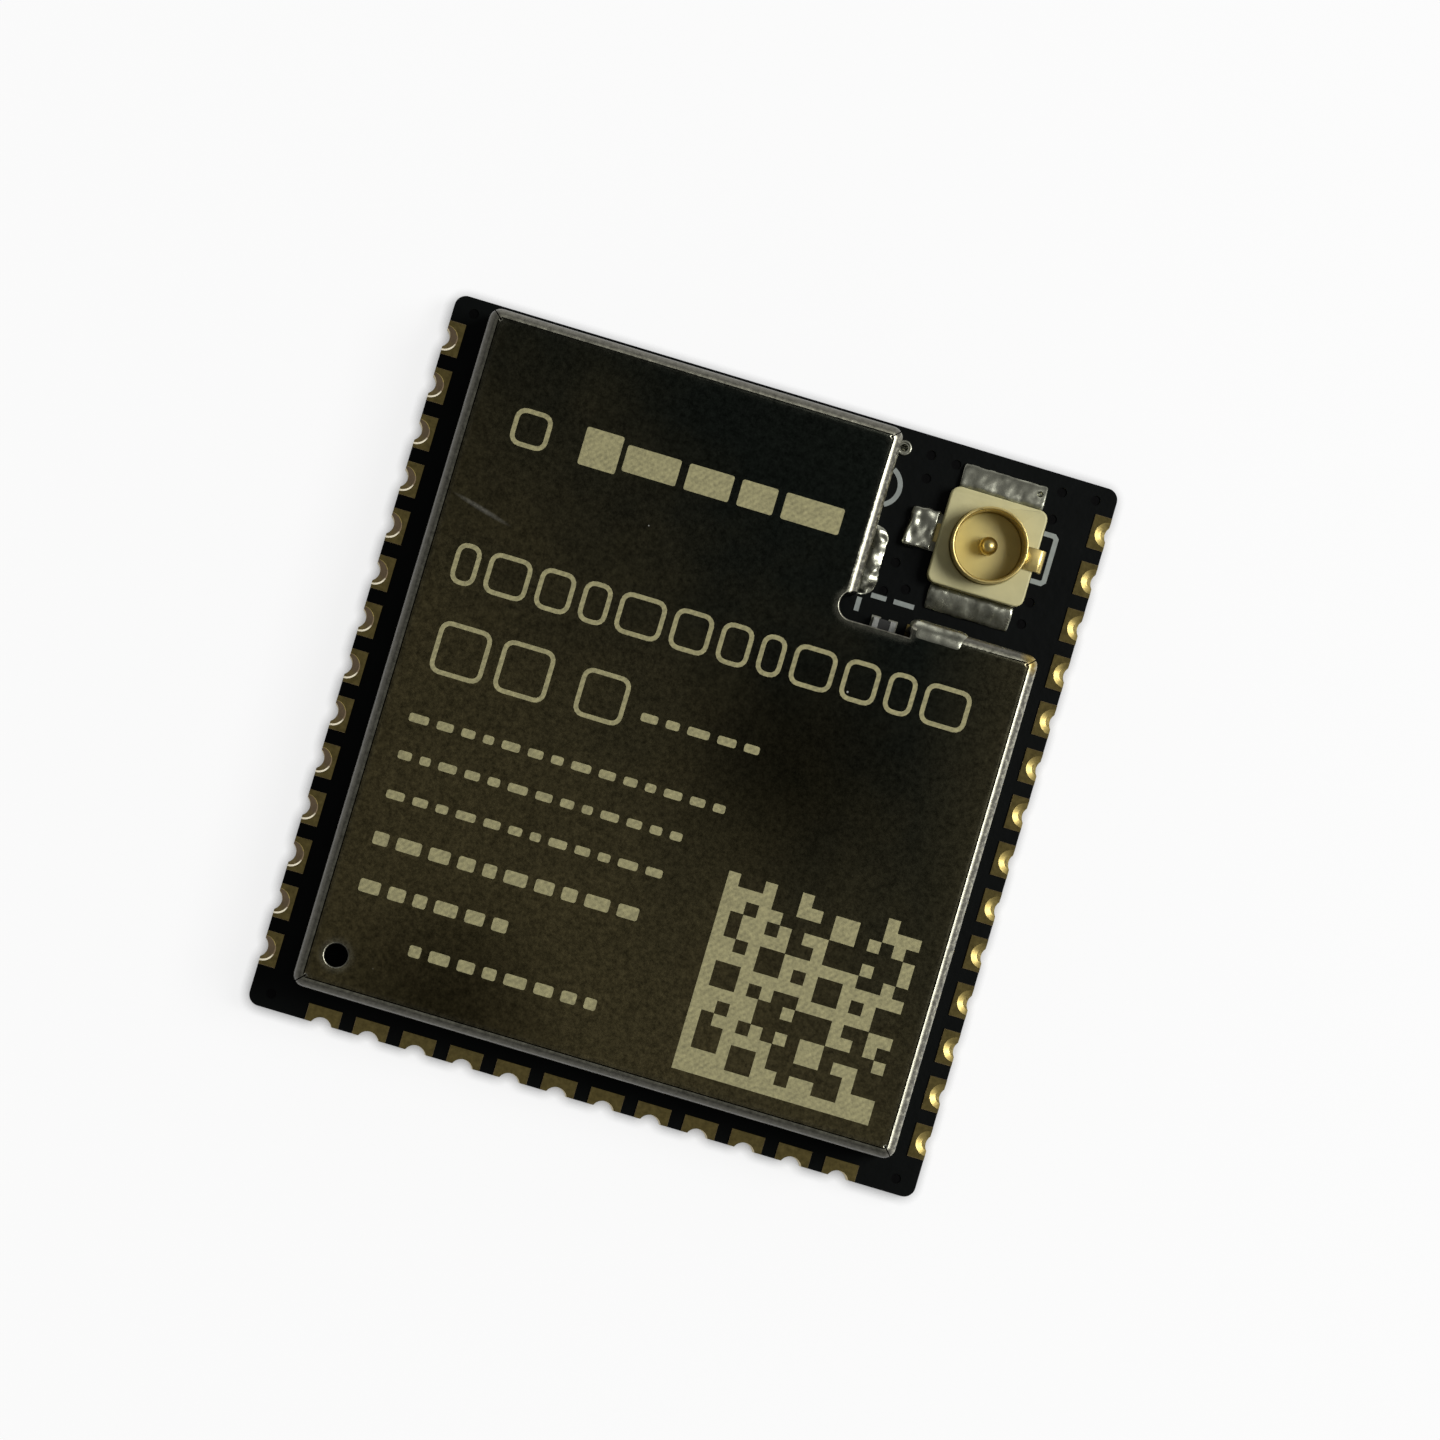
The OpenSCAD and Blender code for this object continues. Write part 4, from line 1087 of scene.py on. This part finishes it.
class RADIO_OT_can_solder(Operator):
    """Model the lumpy solder along the can's walls"""

    bl_idname = "radio.can_solder"
    bl_label = "Can solder"

    # Thickness of a fillet's edges on the board and on the wall.
    toe = 0.03
    # Start on the wall's outer face, direction of the wall, length and leg of each fillet.
    fillets = (
        ((3.05, 5.08), 90, 1.85, 0.52),
        ((5.95, 4.7), 180, 1.0, 0.2),
        ((8.05, 0.7), 90, 3.2, 0.16),
        ((8.05, -7.3), 90, 2.4, 0.16),
    )
    # Tinned stretch of the notch's lower fold: start, direction and length, how far the film
    # stands off the wall and how far it laps over the lid.
    film = ((6.18, 4.7), 180, 1.6, 0.08, 0.44)
    # How far the film sinks into the sheet, stands above the lid and, in radii of the fold, runs
    # down the wall.
    skin = 0.01
    proud = 0.014
    run_down = 2.5
    # Height of the lumps, as a share of a fillet's leg or of the film's bulge, and their size.
    fillet_lumps = (0.35, 0.22)
    film_lumps = (0.3, 0.3)
    # Length of the lumps' facets, and the shrinking of their last sections, each on top of
    # those further in.
    facet = 0.07
    run_out = (0.5, 0.85, 0.93, 0.97)

    def lump(self, section, length, middle, height, grain):
        """Sweep a section to a rough lump that runs out at both ends towards its middle."""
        lump = swept("lump", section, length, cuts=round(length / self.facet))
        with editing(lump):
            for end in (0, length):
                for ring, share in enumerate(self.run_out):
                    pick("VERT", lambda v: abs(v.co.x - end) < (ring + 0.2) * self.facet)
                    bpy.ops.transform.resize(value=(1, share, share),
                                             center_override=(end, *middle))
        roughen(lump, height, grain)
        modify(lump, "SUBSURF", levels=1, render_levels=1)
        return lump

    def fillet(self, length, leg):
        """Solder that climbs from the board to a wall in a hollow curve."""
        hollow = arc((-leg, leg), leg - self.toe, -90, 0, 8)
        section = [(0, 0), (-leg, 0), *hollow, (0, leg)]
        share, grain = self.fillet_lumps
        return self.lump(section, length, (0, 0), share * leg, grain)

    def tinning(self, fold, length, bulge, lap):
        """Film of solder over a fold."""
        lid = LID - BOARD_TOP
        low = lid - self.run_down * fold
        outer = arc((fold, lid + self.proud - fold - bulge), fold + bulge, 90, 180, 8)
        inner = arc((fold, lid - fold), fold - self.skin, 180, 90, 8)
        section = [(lap, lid + self.proud / 2), *outer, (-self.skin, low), (self.skin, low),
                   *inner, (lap, lid - self.skin)]
        share, grain = self.film_lumps
        return self.lump(section, length, (fold / 2, lid - fold), share * bulge, grain)

    def execute(self, context):
        fold = in_mm(context.scene.radio_can.fold_radius)
        lumps = [place(self.fillet(length, leg), (*spot, BOARD_TOP), math.radians(degrees))
                 for spot, degrees, length, leg in self.fillets]
        spot, degrees, *sizes = self.film
        lumps.append(place(self.tinning(fold, *sizes), (*spot, BOARD_TOP),
                           math.radians(degrees)))
        finish(join("can_solder", *lumps), "solder", ["shield_solder"], angle=60)
        return {"FINISHED"}


class RADIO_OT_socket(Operator):
    """Model the antenna socket: insulator, ring with wings and tab, centre pin with leg"""

    bl_idname = "radio.socket"
    bl_label = "Antenna socket"

    # Facets round the ring and round the pin.
    ring_steps = 128
    pin_steps = 64
    # Rounding of the insulator's edges.
    soft_edge = 0.05
    # Depth of the waist round the ring, rounding of its lip and depth of its flared mouth.
    waist = 0.04
    lip = 0.025
    flare = 0.25
    # Rounding of the stamped strips' edges, and the tab's bend in thicknesses of its strip.
    stamped_edge = 0.02
    tab_bend = 1.6

    def insulator(self, sizes, ring, inner):
        """Rounded block with a pocket, and room for the contacts through it."""
        body = block("socket_insulator", INSULATOR_LOW, INSULATOR_HIGH)
        with editing(body):
            pick("EDGE", lambda edge: abs(edge.verts[0].co.z - edge.verts[1].co.z) > NEAR)
            bpy.ops.mesh.bevel(offset=in_mm(sizes.corner_radius), segments=8, affect="EDGES")
        floor = SEAT + in_mm(sizes.floor_height)
        pocket = lathe("pocket", [(0, floor), (inner, floor), (inner, 0), (ring, 0),
                                  (ring, LID), (0, LID)], self.ring_steps)
        combine(body, place(pocket, (SOCKET_X, SOCKET_Y, 0)), "DIFFERENCE")
        modify(body, "BEVEL", width=self.soft_edge, segments=4, limit_method="ANGLE",
               angle_limit=math.radians(50))
        finish(body, "socket_polymer", ["socket_body"])
        modify(body, "WEIGHTED_NORMAL", keep_sharp=True)

    def contact(self, sizes, ring, inner):
        """Waisted ring on a plate with two wings, and the tab that turns down."""
        thick = in_mm(sizes.contact)
        top = SHELL_HIGH.z
        waist_z = INSULATOR_HIGH.z + thick + self.waist
        flat = ring - 2 * self.lip
        mouth = arc((ring - self.lip, top - self.lip), self.lip, 0, 90, 6)
        mouth += [(inner + (flat - inner) * (1 - math.sin(a)),
                   top - self.flare * (1 - math.cos(a)))
                  for a in (QUARTER * i / 8 for i in range(9))]
        shell = lathe("socket_contact", [(inner, SEAT), (ring, SEAT), (ring - self.waist, waist_z),
                                         (ring, waist_z + 2 * self.waist), *mouth],
                      self.ring_steps)
        half = in_mm(sizes.wing_width) / 2
        reach = SHELL_HIGH.y - SOCKET_Y
        plate = block("wings", (-half, -reach, SEAT), (half, reach, SEAT + thick))
        combine(plate, rod("bore", (ring + inner) / 2, 0, LID, sides=self.ring_steps),
                "DIFFERENCE")
        bend = self.tab_bend * thick
        out = SHELL_HIGH.x - SOCKET_X
        over = INSULATOR_HIGH.z + thick
        down = (INSULATOR_HIGH.z + SEAT) / 2
        outer = arc((out - bend, over - bend), bend, 90, 0, 8)
        inner_bend = arc((out - bend, over - bend), bend - thick, 0, 90, 8)
        strip = [((ring + inner) / 2, over), *outer, (out, down), (out - thick, down),
                 *inner_bend, ((ring + inner) / 2, over - thick)]
        width = in_mm(sizes.tab_width)
        tab = swept("tab", strip, width)
        modify(tab, "BEVEL", width=self.stamped_edge, segments=2, limit_method="ANGLE",
               angle_limit=math.radians(60))
        place(tab, (0, width / 2, 0), -QUARTER)
        shell = join("socket_contact", shell, plate, tab)
        place(shell, (SOCKET_X, SOCKET_Y, 0))
        finish(shell, "contact_gold", ["socket_shell"])

    def centre(self, sizes):
        """Round-ended pin on a flat leg."""
        radius = in_mm(sizes.pin_radius)
        dome = arc((0, PIN_HIGH.z - radius), radius, 0, 90, 12)
        pin = lathe("socket_centre", [(0, SEAT), (radius, SEAT), *dome], self.pin_steps)
        half = in_mm(sizes.leg_width) / 2
        leg = block("leg", (PIN_LOW.x - SOCKET_X, -half, SEAT),
                    (-radius / 2, half, SEAT + in_mm(sizes.contact)))
        modify(leg, "BEVEL", width=self.stamped_edge, segments=2)
        place(join("socket_centre", pin, leg), (SOCKET_X, SOCKET_Y, 0))
        finish(pin, "contact_gold", ["socket_pin"])

    def execute(self, context):
        sizes = context.scene.radio_socket
        ring = in_mm(sizes.ring_radius)
        inner = ring - in_mm(sizes.ring_wall)
        self.insulator(sizes, ring, inner)
        self.contact(sizes, ring, inner)
        self.centre(sizes)
        return {"FINISHED"}


class RADIO_OT_socket_solder(Operator):
    """Model the solder on the socket's wings and leg, and the tinned ring pad"""

    bl_idname = "radio.socket_solder"
    bl_label = "Socket solder"

    # Section of a wing's solder, as distance from the socket's axis and height over the lands,
    # and its length and crosswise cuts.
    wing_section = (
        (1.29, -0.045), (1.975, -0.045), (1.98, 0.02), (1.9, 0.06), (1.76, 0.1), (1.62, 0.13),
        (1.5, 0.15), (1.42, 0.15), (1.36, 0.13), (1.29, 0.12),
    )
    wing_length = 2.3
    wing_cuts = 30
    # Height and size of the lumps in the wings' solder and in the leg's.
    wing_lumps = (0.05, 0.5)
    leg_lumps = (0.22, 0.3)
    # Pin-hole in the upper wing's solder: place from the socket's axis, radius, and heights of
    # its tip and its rim over the lands.
    pin_hole = ((0.96, 1.73), 0.085, -0.035, 0.08)
    # Middle and size of the lump on the leg, from the socket's axis and the lands, and the
    # rounding of its edges.
    leg_lump = ((-1.76, 0.0, 0.09), (0.74, 1.06, 0.28))
    leg_edge = 0.06
    # Radius of the ring pad's hole before and after tinning, thickness of the solder that closes
    # it below, and the flattening of the pad's crown.
    pad_hole = 0.13
    pad_bore = 0.105
    pad_plug = 0.1
    pad_crown = 0.6

    def execute(self, context):
        lumps = []
        for turn in (0, 2 * QUARTER):
            lump = swept("wing", list(self.wing_section), self.wing_length, cuts=self.wing_cuts)
            place(lump, (-self.wing_length / 2, 0, 0))
            modify(lump, "SUBSURF", levels=1, render_levels=1)
            lumps.append(place(lump, (SOCKET_X, SOCKET_Y, SEAT), turn))
        wings = join("socket_wing_solder", *lumps)
        roughen(wings, *self.wing_lumps)
        (x, y), radius, tip, rim = self.pin_hole
        pit = lathe("pin_hole", [(0, SEAT + tip), (radius, SEAT + rim), (radius, LID), (0, LID)], 32)
        combine(wings, place(pit, (SOCKET_X + x, SOCKET_Y + y, 0)), "DIFFERENCE")
        finish(wings, "solder", ["socket_ground_solder"], angle=60)

        middle, size = (Vector(v) for v in self.leg_lump)
        lump = block("socket_leg_solder", middle - size / 2, middle + size / 2)
        with editing(lump):
            bpy.ops.mesh.bevel(offset=self.leg_edge, segments=2, affect="EDGES")
            bpy.ops.mesh.select_all(action="SELECT")
            bpy.ops.mesh.subdivide(number_cuts=6)
        place(lump, (SOCKET_X, SOCKET_Y, SEAT))
        roughen(lump, *self.leg_lumps)
        modify(lump, "SUBSURF", levels=1, render_levels=1)
        finish(lump, "solder", ["socket_signal_solder"], angle=60)

        outer = (RING_PAD_HIGH.x - RING_PAD_LOW.x) / 2
        hole, bore, plug = self.pad_hole, self.pad_bore, self.pad_plug
        crown = arc(((outer + hole) / 2, SEAT), (outer - hole) / 2, 0, 180, 10)
        section = [(0, 0), (hole, 0), (hole, BOARD_TOP), (outer, BOARD_TOP)]
        section += [(r, SEAT + (z - SEAT) * self.pad_crown) for r, z in crown]
        section += [(bore, SEAT), (bore, plug), (0, plug)]
        pad = lathe("ring_pad", section, 64)
        middle = (RING_PAD_LOW + RING_PAD_HIGH) / 2
        place(pad, (middle.x, middle.y, 0))
        finish(pad, "solder", ["test_pad"])
        return {"FINISHED"}


class RADIO_OT_silkscreen(Operator):
    """Print the thin lines round the antenna socket"""

    bl_idname = "radio.silkscreen"
    bl_label = "Printed lines"

    # Middle lines of the printed strokes on the board.
    strokes = (
        [(7.4, 7.99), (7.68, 7.99), (7.75, 7.92), (7.75, 6.78), (7.68, 6.71), (7.4, 6.71)],
        arc((2.92, 7.99), 0.54, -62, 62, 20),
        [(3.53, 5.16), (3.94, 5.16)],
        [(4.14, 5.16), (4.69, 5.16)],
        [(3.26, 4.65), (3.26, 5.02)],
    )

    def outline(self, line, half):
        """Both sides of a stroke, with mitred corners."""
        points = [Vector(point) for point in line]
        ways = [(there - here).normalized() for here, there in pairwise(points)]
        ways = [ways[0], *ways, ways[-1]]
        sides = []
        for point, (before, after) in zip(points, pairwise(ways)):
            across = Vector((-before.y, before.x)) + Vector((-after.y, after.x))
            sides.append((point, across * half * 2 / across.length_squared))
        return ([tuple(p + a) for p, a in sides] + [tuple(p - a) for p, a in reversed(sides)])

    def execute(self, context):
        sizes = context.scene.radio_marks
        half = in_mm(sizes.ink_width) / 2
        height = in_mm(sizes.ink_height)
        lines = [prism("stroke", self.outline(stroke, half), BOARD_TOP, BOARD_TOP + height)
                 for stroke in self.strokes]
        finish(join("printed_lines", *lines), "ink")
        return {"FINISHED"}


class RADIO_OT_etched_marks(Operator):
    """Etch plain bars, frames and a block pattern into the lid"""

    bl_idname = "radio.etched_marks"
    bl_label = "Etched marks"

    # Rows of bars: left end, right end, middle line, height and usual length of a bar.
    solid_rows = (
        (-4.75, 2.4, 6.56, 0.7, 1.2),
        (-1.4, 2.05, 0.3, 0.22, 0.45),
        (-7.1, 1.85, -1.4, 0.22, 0.4),
        (-7.1, 0.5, -2.4, 0.22, 0.4),
        (-7.1, 0.5, -3.45, 0.22, 0.4),
        (-7.1, 0.0, -4.62, 0.34, 0.5),
        (-7.1, -2.6, -5.88, 0.34, 0.5),
        (-5.4, -0.1, -7.15, 0.3, 0.45),
    )
    outlined_row = (-7.15, 7.2, 2.75, 1.1, 0.95)
    # Single frames: middle and width.
    frames = (((-6.2, 6.56), 1.5), ((-6.3, 0.55), 1.4), ((-4.6, 0.55), 1.4), ((-2.5, 0.5), 1.3))
    # Width of the frames' lines, and gap between neighbouring bars.
    frame_line = 0.12
    gap = 0.22
    # Shortest bar and the spread of the lengths, as shares of the usual length.
    shortest = 0.7
    spread = 0.3
    # Rounding of the bars' and the frames' corners.
    bar_corner = 0.06
    frame_corner = 0.28
    # Lower left corner of the block pattern, and the bare line round its islands.
    pattern_place = (1.9, -8.12)
    pattern_line = 0.006

    def bars(self, rows):
        """Middles and sizes of the bars of rows, with lengths that vary in a fixed way."""
        for row, (first, last, y, height, usual) in enumerate(rows):
            x = first
            step = 0
            while x < last - self.shortest * usual:
                length = usual * (self.shortest + self.spread * ((5 * step + 3 * row) % 7) / 3)
                length = min(length, last - x)
                yield (x + length / 2, y), (length, height)
                x += length + self.gap
                step += 1

    def plates(self, name, places, corner):
        """Lay flat plates with rounded corners on the lid."""
        (middle, size), *others = places
        marks = start(name, bpy.ops.mesh.primitive_plane_add, size=1,
                      location=(*middle, LID), scale=(*size, 1))
        with editing(marks):
            for middle, size in others:
                spot = (*middle, LID)
                bpy.ops.mesh.primitive_plane_add(size=1, location=spot)
                bpy.ops.transform.resize(value=(*size, 1), center_override=spot)
            bpy.ops.mesh.select_all(action="SELECT")
            bpy.ops.mesh.bevel(offset=corner, segments=4, affect="VERTICES")
        return marks

    def raise_up(self, marks, height):
        """Give flat marks the height of the etched metal and finish them."""
        with editing(marks):
            pull((0, 0, height))
            close_up()
        finish(marks, "etched")

    def execute(self, context):
        sizes = context.scene.radio_marks
        height = in_mm(sizes.etch_height)
        marks = self.plates("etched_bars", self.bars(self.solid_rows), self.bar_corner)
        self.raise_up(marks, height)

        squares = [(middle, (width, width)) for middle, width in self.frames]
        marks = self.plates("etched_frames", [*squares, *self.bars([self.outlined_row])],
                            self.frame_corner)
        with editing(marks):
            bpy.ops.mesh.select_mode(type="FACE")
            bpy.ops.mesh.inset(thickness=self.frame_line, use_individual=True)
            bpy.ops.mesh.delete(type="FACE")
        self.raise_up(marks, height)

        cells, cell = sizes.cells, in_mm(sizes.cell)
        width = cells * cell
        x, y = self.pattern_place
        pattern = start("etched_blocks", bpy.ops.mesh.primitive_grid_add, x_subdivisions=cells,
                        y_subdivisions=cells, size=width,
                        location=(x + width / 2, y + width / 2, LID))
        with editing(pattern):
            def is_bare(face):
                """Whether a cell stays dark, by a fixed rule that encodes nothing."""
                spot = face.calc_center_median()
                column, line = int((spot.x - x) / cell), int((spot.y - y) / cell)
                if column == 0 or line == 0:
                    return False
                return (column * column * 7 + line * 11 + column * line * 5) % 13 < 7
            pick("FACE", is_bare)
            bpy.ops.mesh.delete(type="FACE")
            # Cells that meet only at a corner are parted, so that each island is closed.
            bpy.ops.mesh.select_all(action="SELECT")
            bpy.ops.mesh.inset(thickness=self.pattern_line)
            bpy.ops.mesh.select_all(action="INVERT")
            bpy.ops.mesh.delete(type="FACE")
        self.raise_up(pattern, height)
        return {"FINISHED"}


class RADIO_OT_stage(Operator):
    """Set the pale floor, the soft light and the camera"""

    bl_idname = "radio.stage"
    bl_label = "Stage"

    # Width of the floor, and its drop below the board so that their faces share no plane, in
    # metres.
    floor_width = 0.6
    floor_drop = 0.00001
    # Share of plain white in what the camera and reflections see of the floor.
    whiteness = 0.85
    # Place and width of the soft lamp, in metres.
    key_place = (0.223, 0.09, 0.319)
    key_size = 0.16
    # Width of the camera's sensor in millimetres, and the nearest that it sees in metres.
    sensor = 36
    near_clip = 0.01
    # Reach of the shade that the floor keeps close to the board's edges, in millimetres.
    contact_shade = 0.3

    def floor_finish(self):
        """White paper that stays white in the picture and keeps a faint shadow."""
        material, shader = new_finish("white_paper", roughness=0.9)
        shader.inputs["Base Color"].default_value = rgba(linear("#f2f2f2"))
        coords = add_node(material, "ShaderNodeTexCoord").outputs["Object"]
        tooth = add_node(material, "ShaderNodeTexNoise",
                         {"Vector": coords, "Scale": per_mm(0.5), "Detail": 3.0})
        bump = add_node(material, "ShaderNodeBump",
                        {"Strength": 0.05, "Distance": 0.02 * MM, "Height": tooth.outputs["Fac"]})
        link(material, bump.outputs[0], shader.inputs["Normal"])
        shade = add_node(material, "ShaderNodeAmbientOcclusion",
                         {"Distance": self.contact_shade * MM}, samples=4)
        white = add_node(material, "ShaderNodeEmission",
                         {"Color": shade.outputs["Color"], "Strength": 1.0})
        path = add_node(material, "ShaderNodeLightPath").outputs
        seen = add_node(material, "ShaderNodeMath",
                        {0: path["Is Camera Ray"], 1: path["Is Glossy Ray"]}, operation="ADD")
        seen = add_node(material, "ShaderNodeMath",
                        {0: seen.outputs[0], 1: path["Is Transmission Ray"]}, operation="ADD",
                        use_clamp=True)
        share = add_node(material, "ShaderNodeMath", {0: seen.outputs[0], 1: self.whiteness},
                         operation="MULTIPLY")
        mixed = add_node(material, "ShaderNodeMixShader",
                         {0: share.outputs[0], 1: shader.outputs[0], 2: white.outputs[0]})
        output = material.node_tree.nodes["Material Output"]
        link(material, mixed.outputs[0], output.inputs["Surface"])
        return material

    def light_world(self, settings):
        """White walls all round under a dimmer ceiling."""
        world = bpy.data.worlds.new("studio")
        world.use_nodes = True
        bpy.context.scene.world = world
        way = add_node(world, "ShaderNodeTexCoord").outputs["Generated"]
        rise = add_node(world, "ShaderNodeSeparateXYZ", {0: way}).outputs["Z"]
        strength = add_node(world, "ShaderNodeMapRange",
                            {"Value": rise, "From Min": 0.05, "From Max": 0.6,
                             "To Min": 1.0, "To Max": settings.sky})
        sky = world.node_tree.nodes["Background"]
        sky.inputs["Color"].default_value = (1, 1, 1, 1)
        link(world, strength.outputs[0], sky.inputs["Strength"])

    def execute(self, context):
        settings = context.scene.radio_stage
        floor = start("floor", bpy.ops.mesh.primitive_plane_add, size=self.floor_width,
                      location=(0, 0, -self.floor_drop))
        with editing(floor):
            bpy.ops.mesh.subdivide(number_cuts=4)
        floor.data.materials.append(self.floor_finish())
        floor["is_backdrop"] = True
        self.light_world(settings)

        deselect()
        bpy.ops.object.light_add(type="AREA", location=self.key_place)
        key = context.object
        key.name = "key"
        key.data.size = self.key_size
        key.data.energy = settings.key_power
        key.rotation_euler = Vector(self.key_place).to_track_quat("Z", "Y").to_euler()

        back = Vector(settings.sight).normalized()
        turn = settings.roll
        up = Vector((-math.sin(turn), math.cos(turn), 0))
        right = up.cross(back).normalized()
        up = back.cross(right)
        spot = Vector(settings.aim) + back * settings.distance
        deselect()
        bpy.ops.object.camera_add(location=spot)
        camera = context.object
        turned = Matrix((right, up, back)).transposed().to_4x4()
        camera.matrix_world = Matrix.Translation(spot) @ turned
        camera.data.sensor_width = self.sensor
        camera.data.lens = self.sensor * settings.distance / settings.view_width
        camera.data.clip_start = self.near_clip
        context.scene.camera = camera
        context.scene.view_settings.view_transform = "Standard"
        return {"FINISHED"}


STEPS = (
    RADIO_OT_board_and_parts, RADIO_OT_edge_pads, RADIO_OT_shield_can, RADIO_OT_can_solder,
    RADIO_OT_socket, RADIO_OT_socket_solder, RADIO_OT_silkscreen, RADIO_OT_etched_marks,
    RADIO_OT_stage,
)


class RADIO_PT_module(Panel):
    """Steps and settings of the radio module"""

    bl_idname = "RADIO_PT_module"
    bl_label = "Radio module"
    bl_space_type = "VIEW_3D"
    bl_region_type = "UI"
    bl_category = "Radio module"

    def draw(self, context):
        for step in STEPS:
            self.layout.operator(step.bl_idname)
        for name, group in SETTINGS.items():
            box = self.layout.box()
            box.label(text=group.__doc__)
            for setting in group.__annotations__:
                box.prop(getattr(context.scene, name), setting)


CLASSES = (*SETTINGS.values(), *STEPS, RADIO_PT_module)


def register():
    for cls in CLASSES:
        bpy.utils.register_class(cls)
    for name, group in SETTINGS.items():
        setattr(bpy.types.Scene, name, PointerProperty(type=group))


def unregister():
    for name in SETTINGS:
        delattr(bpy.types.Scene, name)
    for cls in reversed(CLASSES):
        bpy.utils.unregister_class(cls)


def main():
    register()
    for step in STEPS:
        area, name = step.bl_idname.split(".")
        getattr(getattr(bpy.ops, area), name)()
    boxes = {"cad": cad_bounds, "visual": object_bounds()}
    {name: [list(corner) for corner in box] for name, box in boxes.items()}


if __name__ == "__main__":
    main()
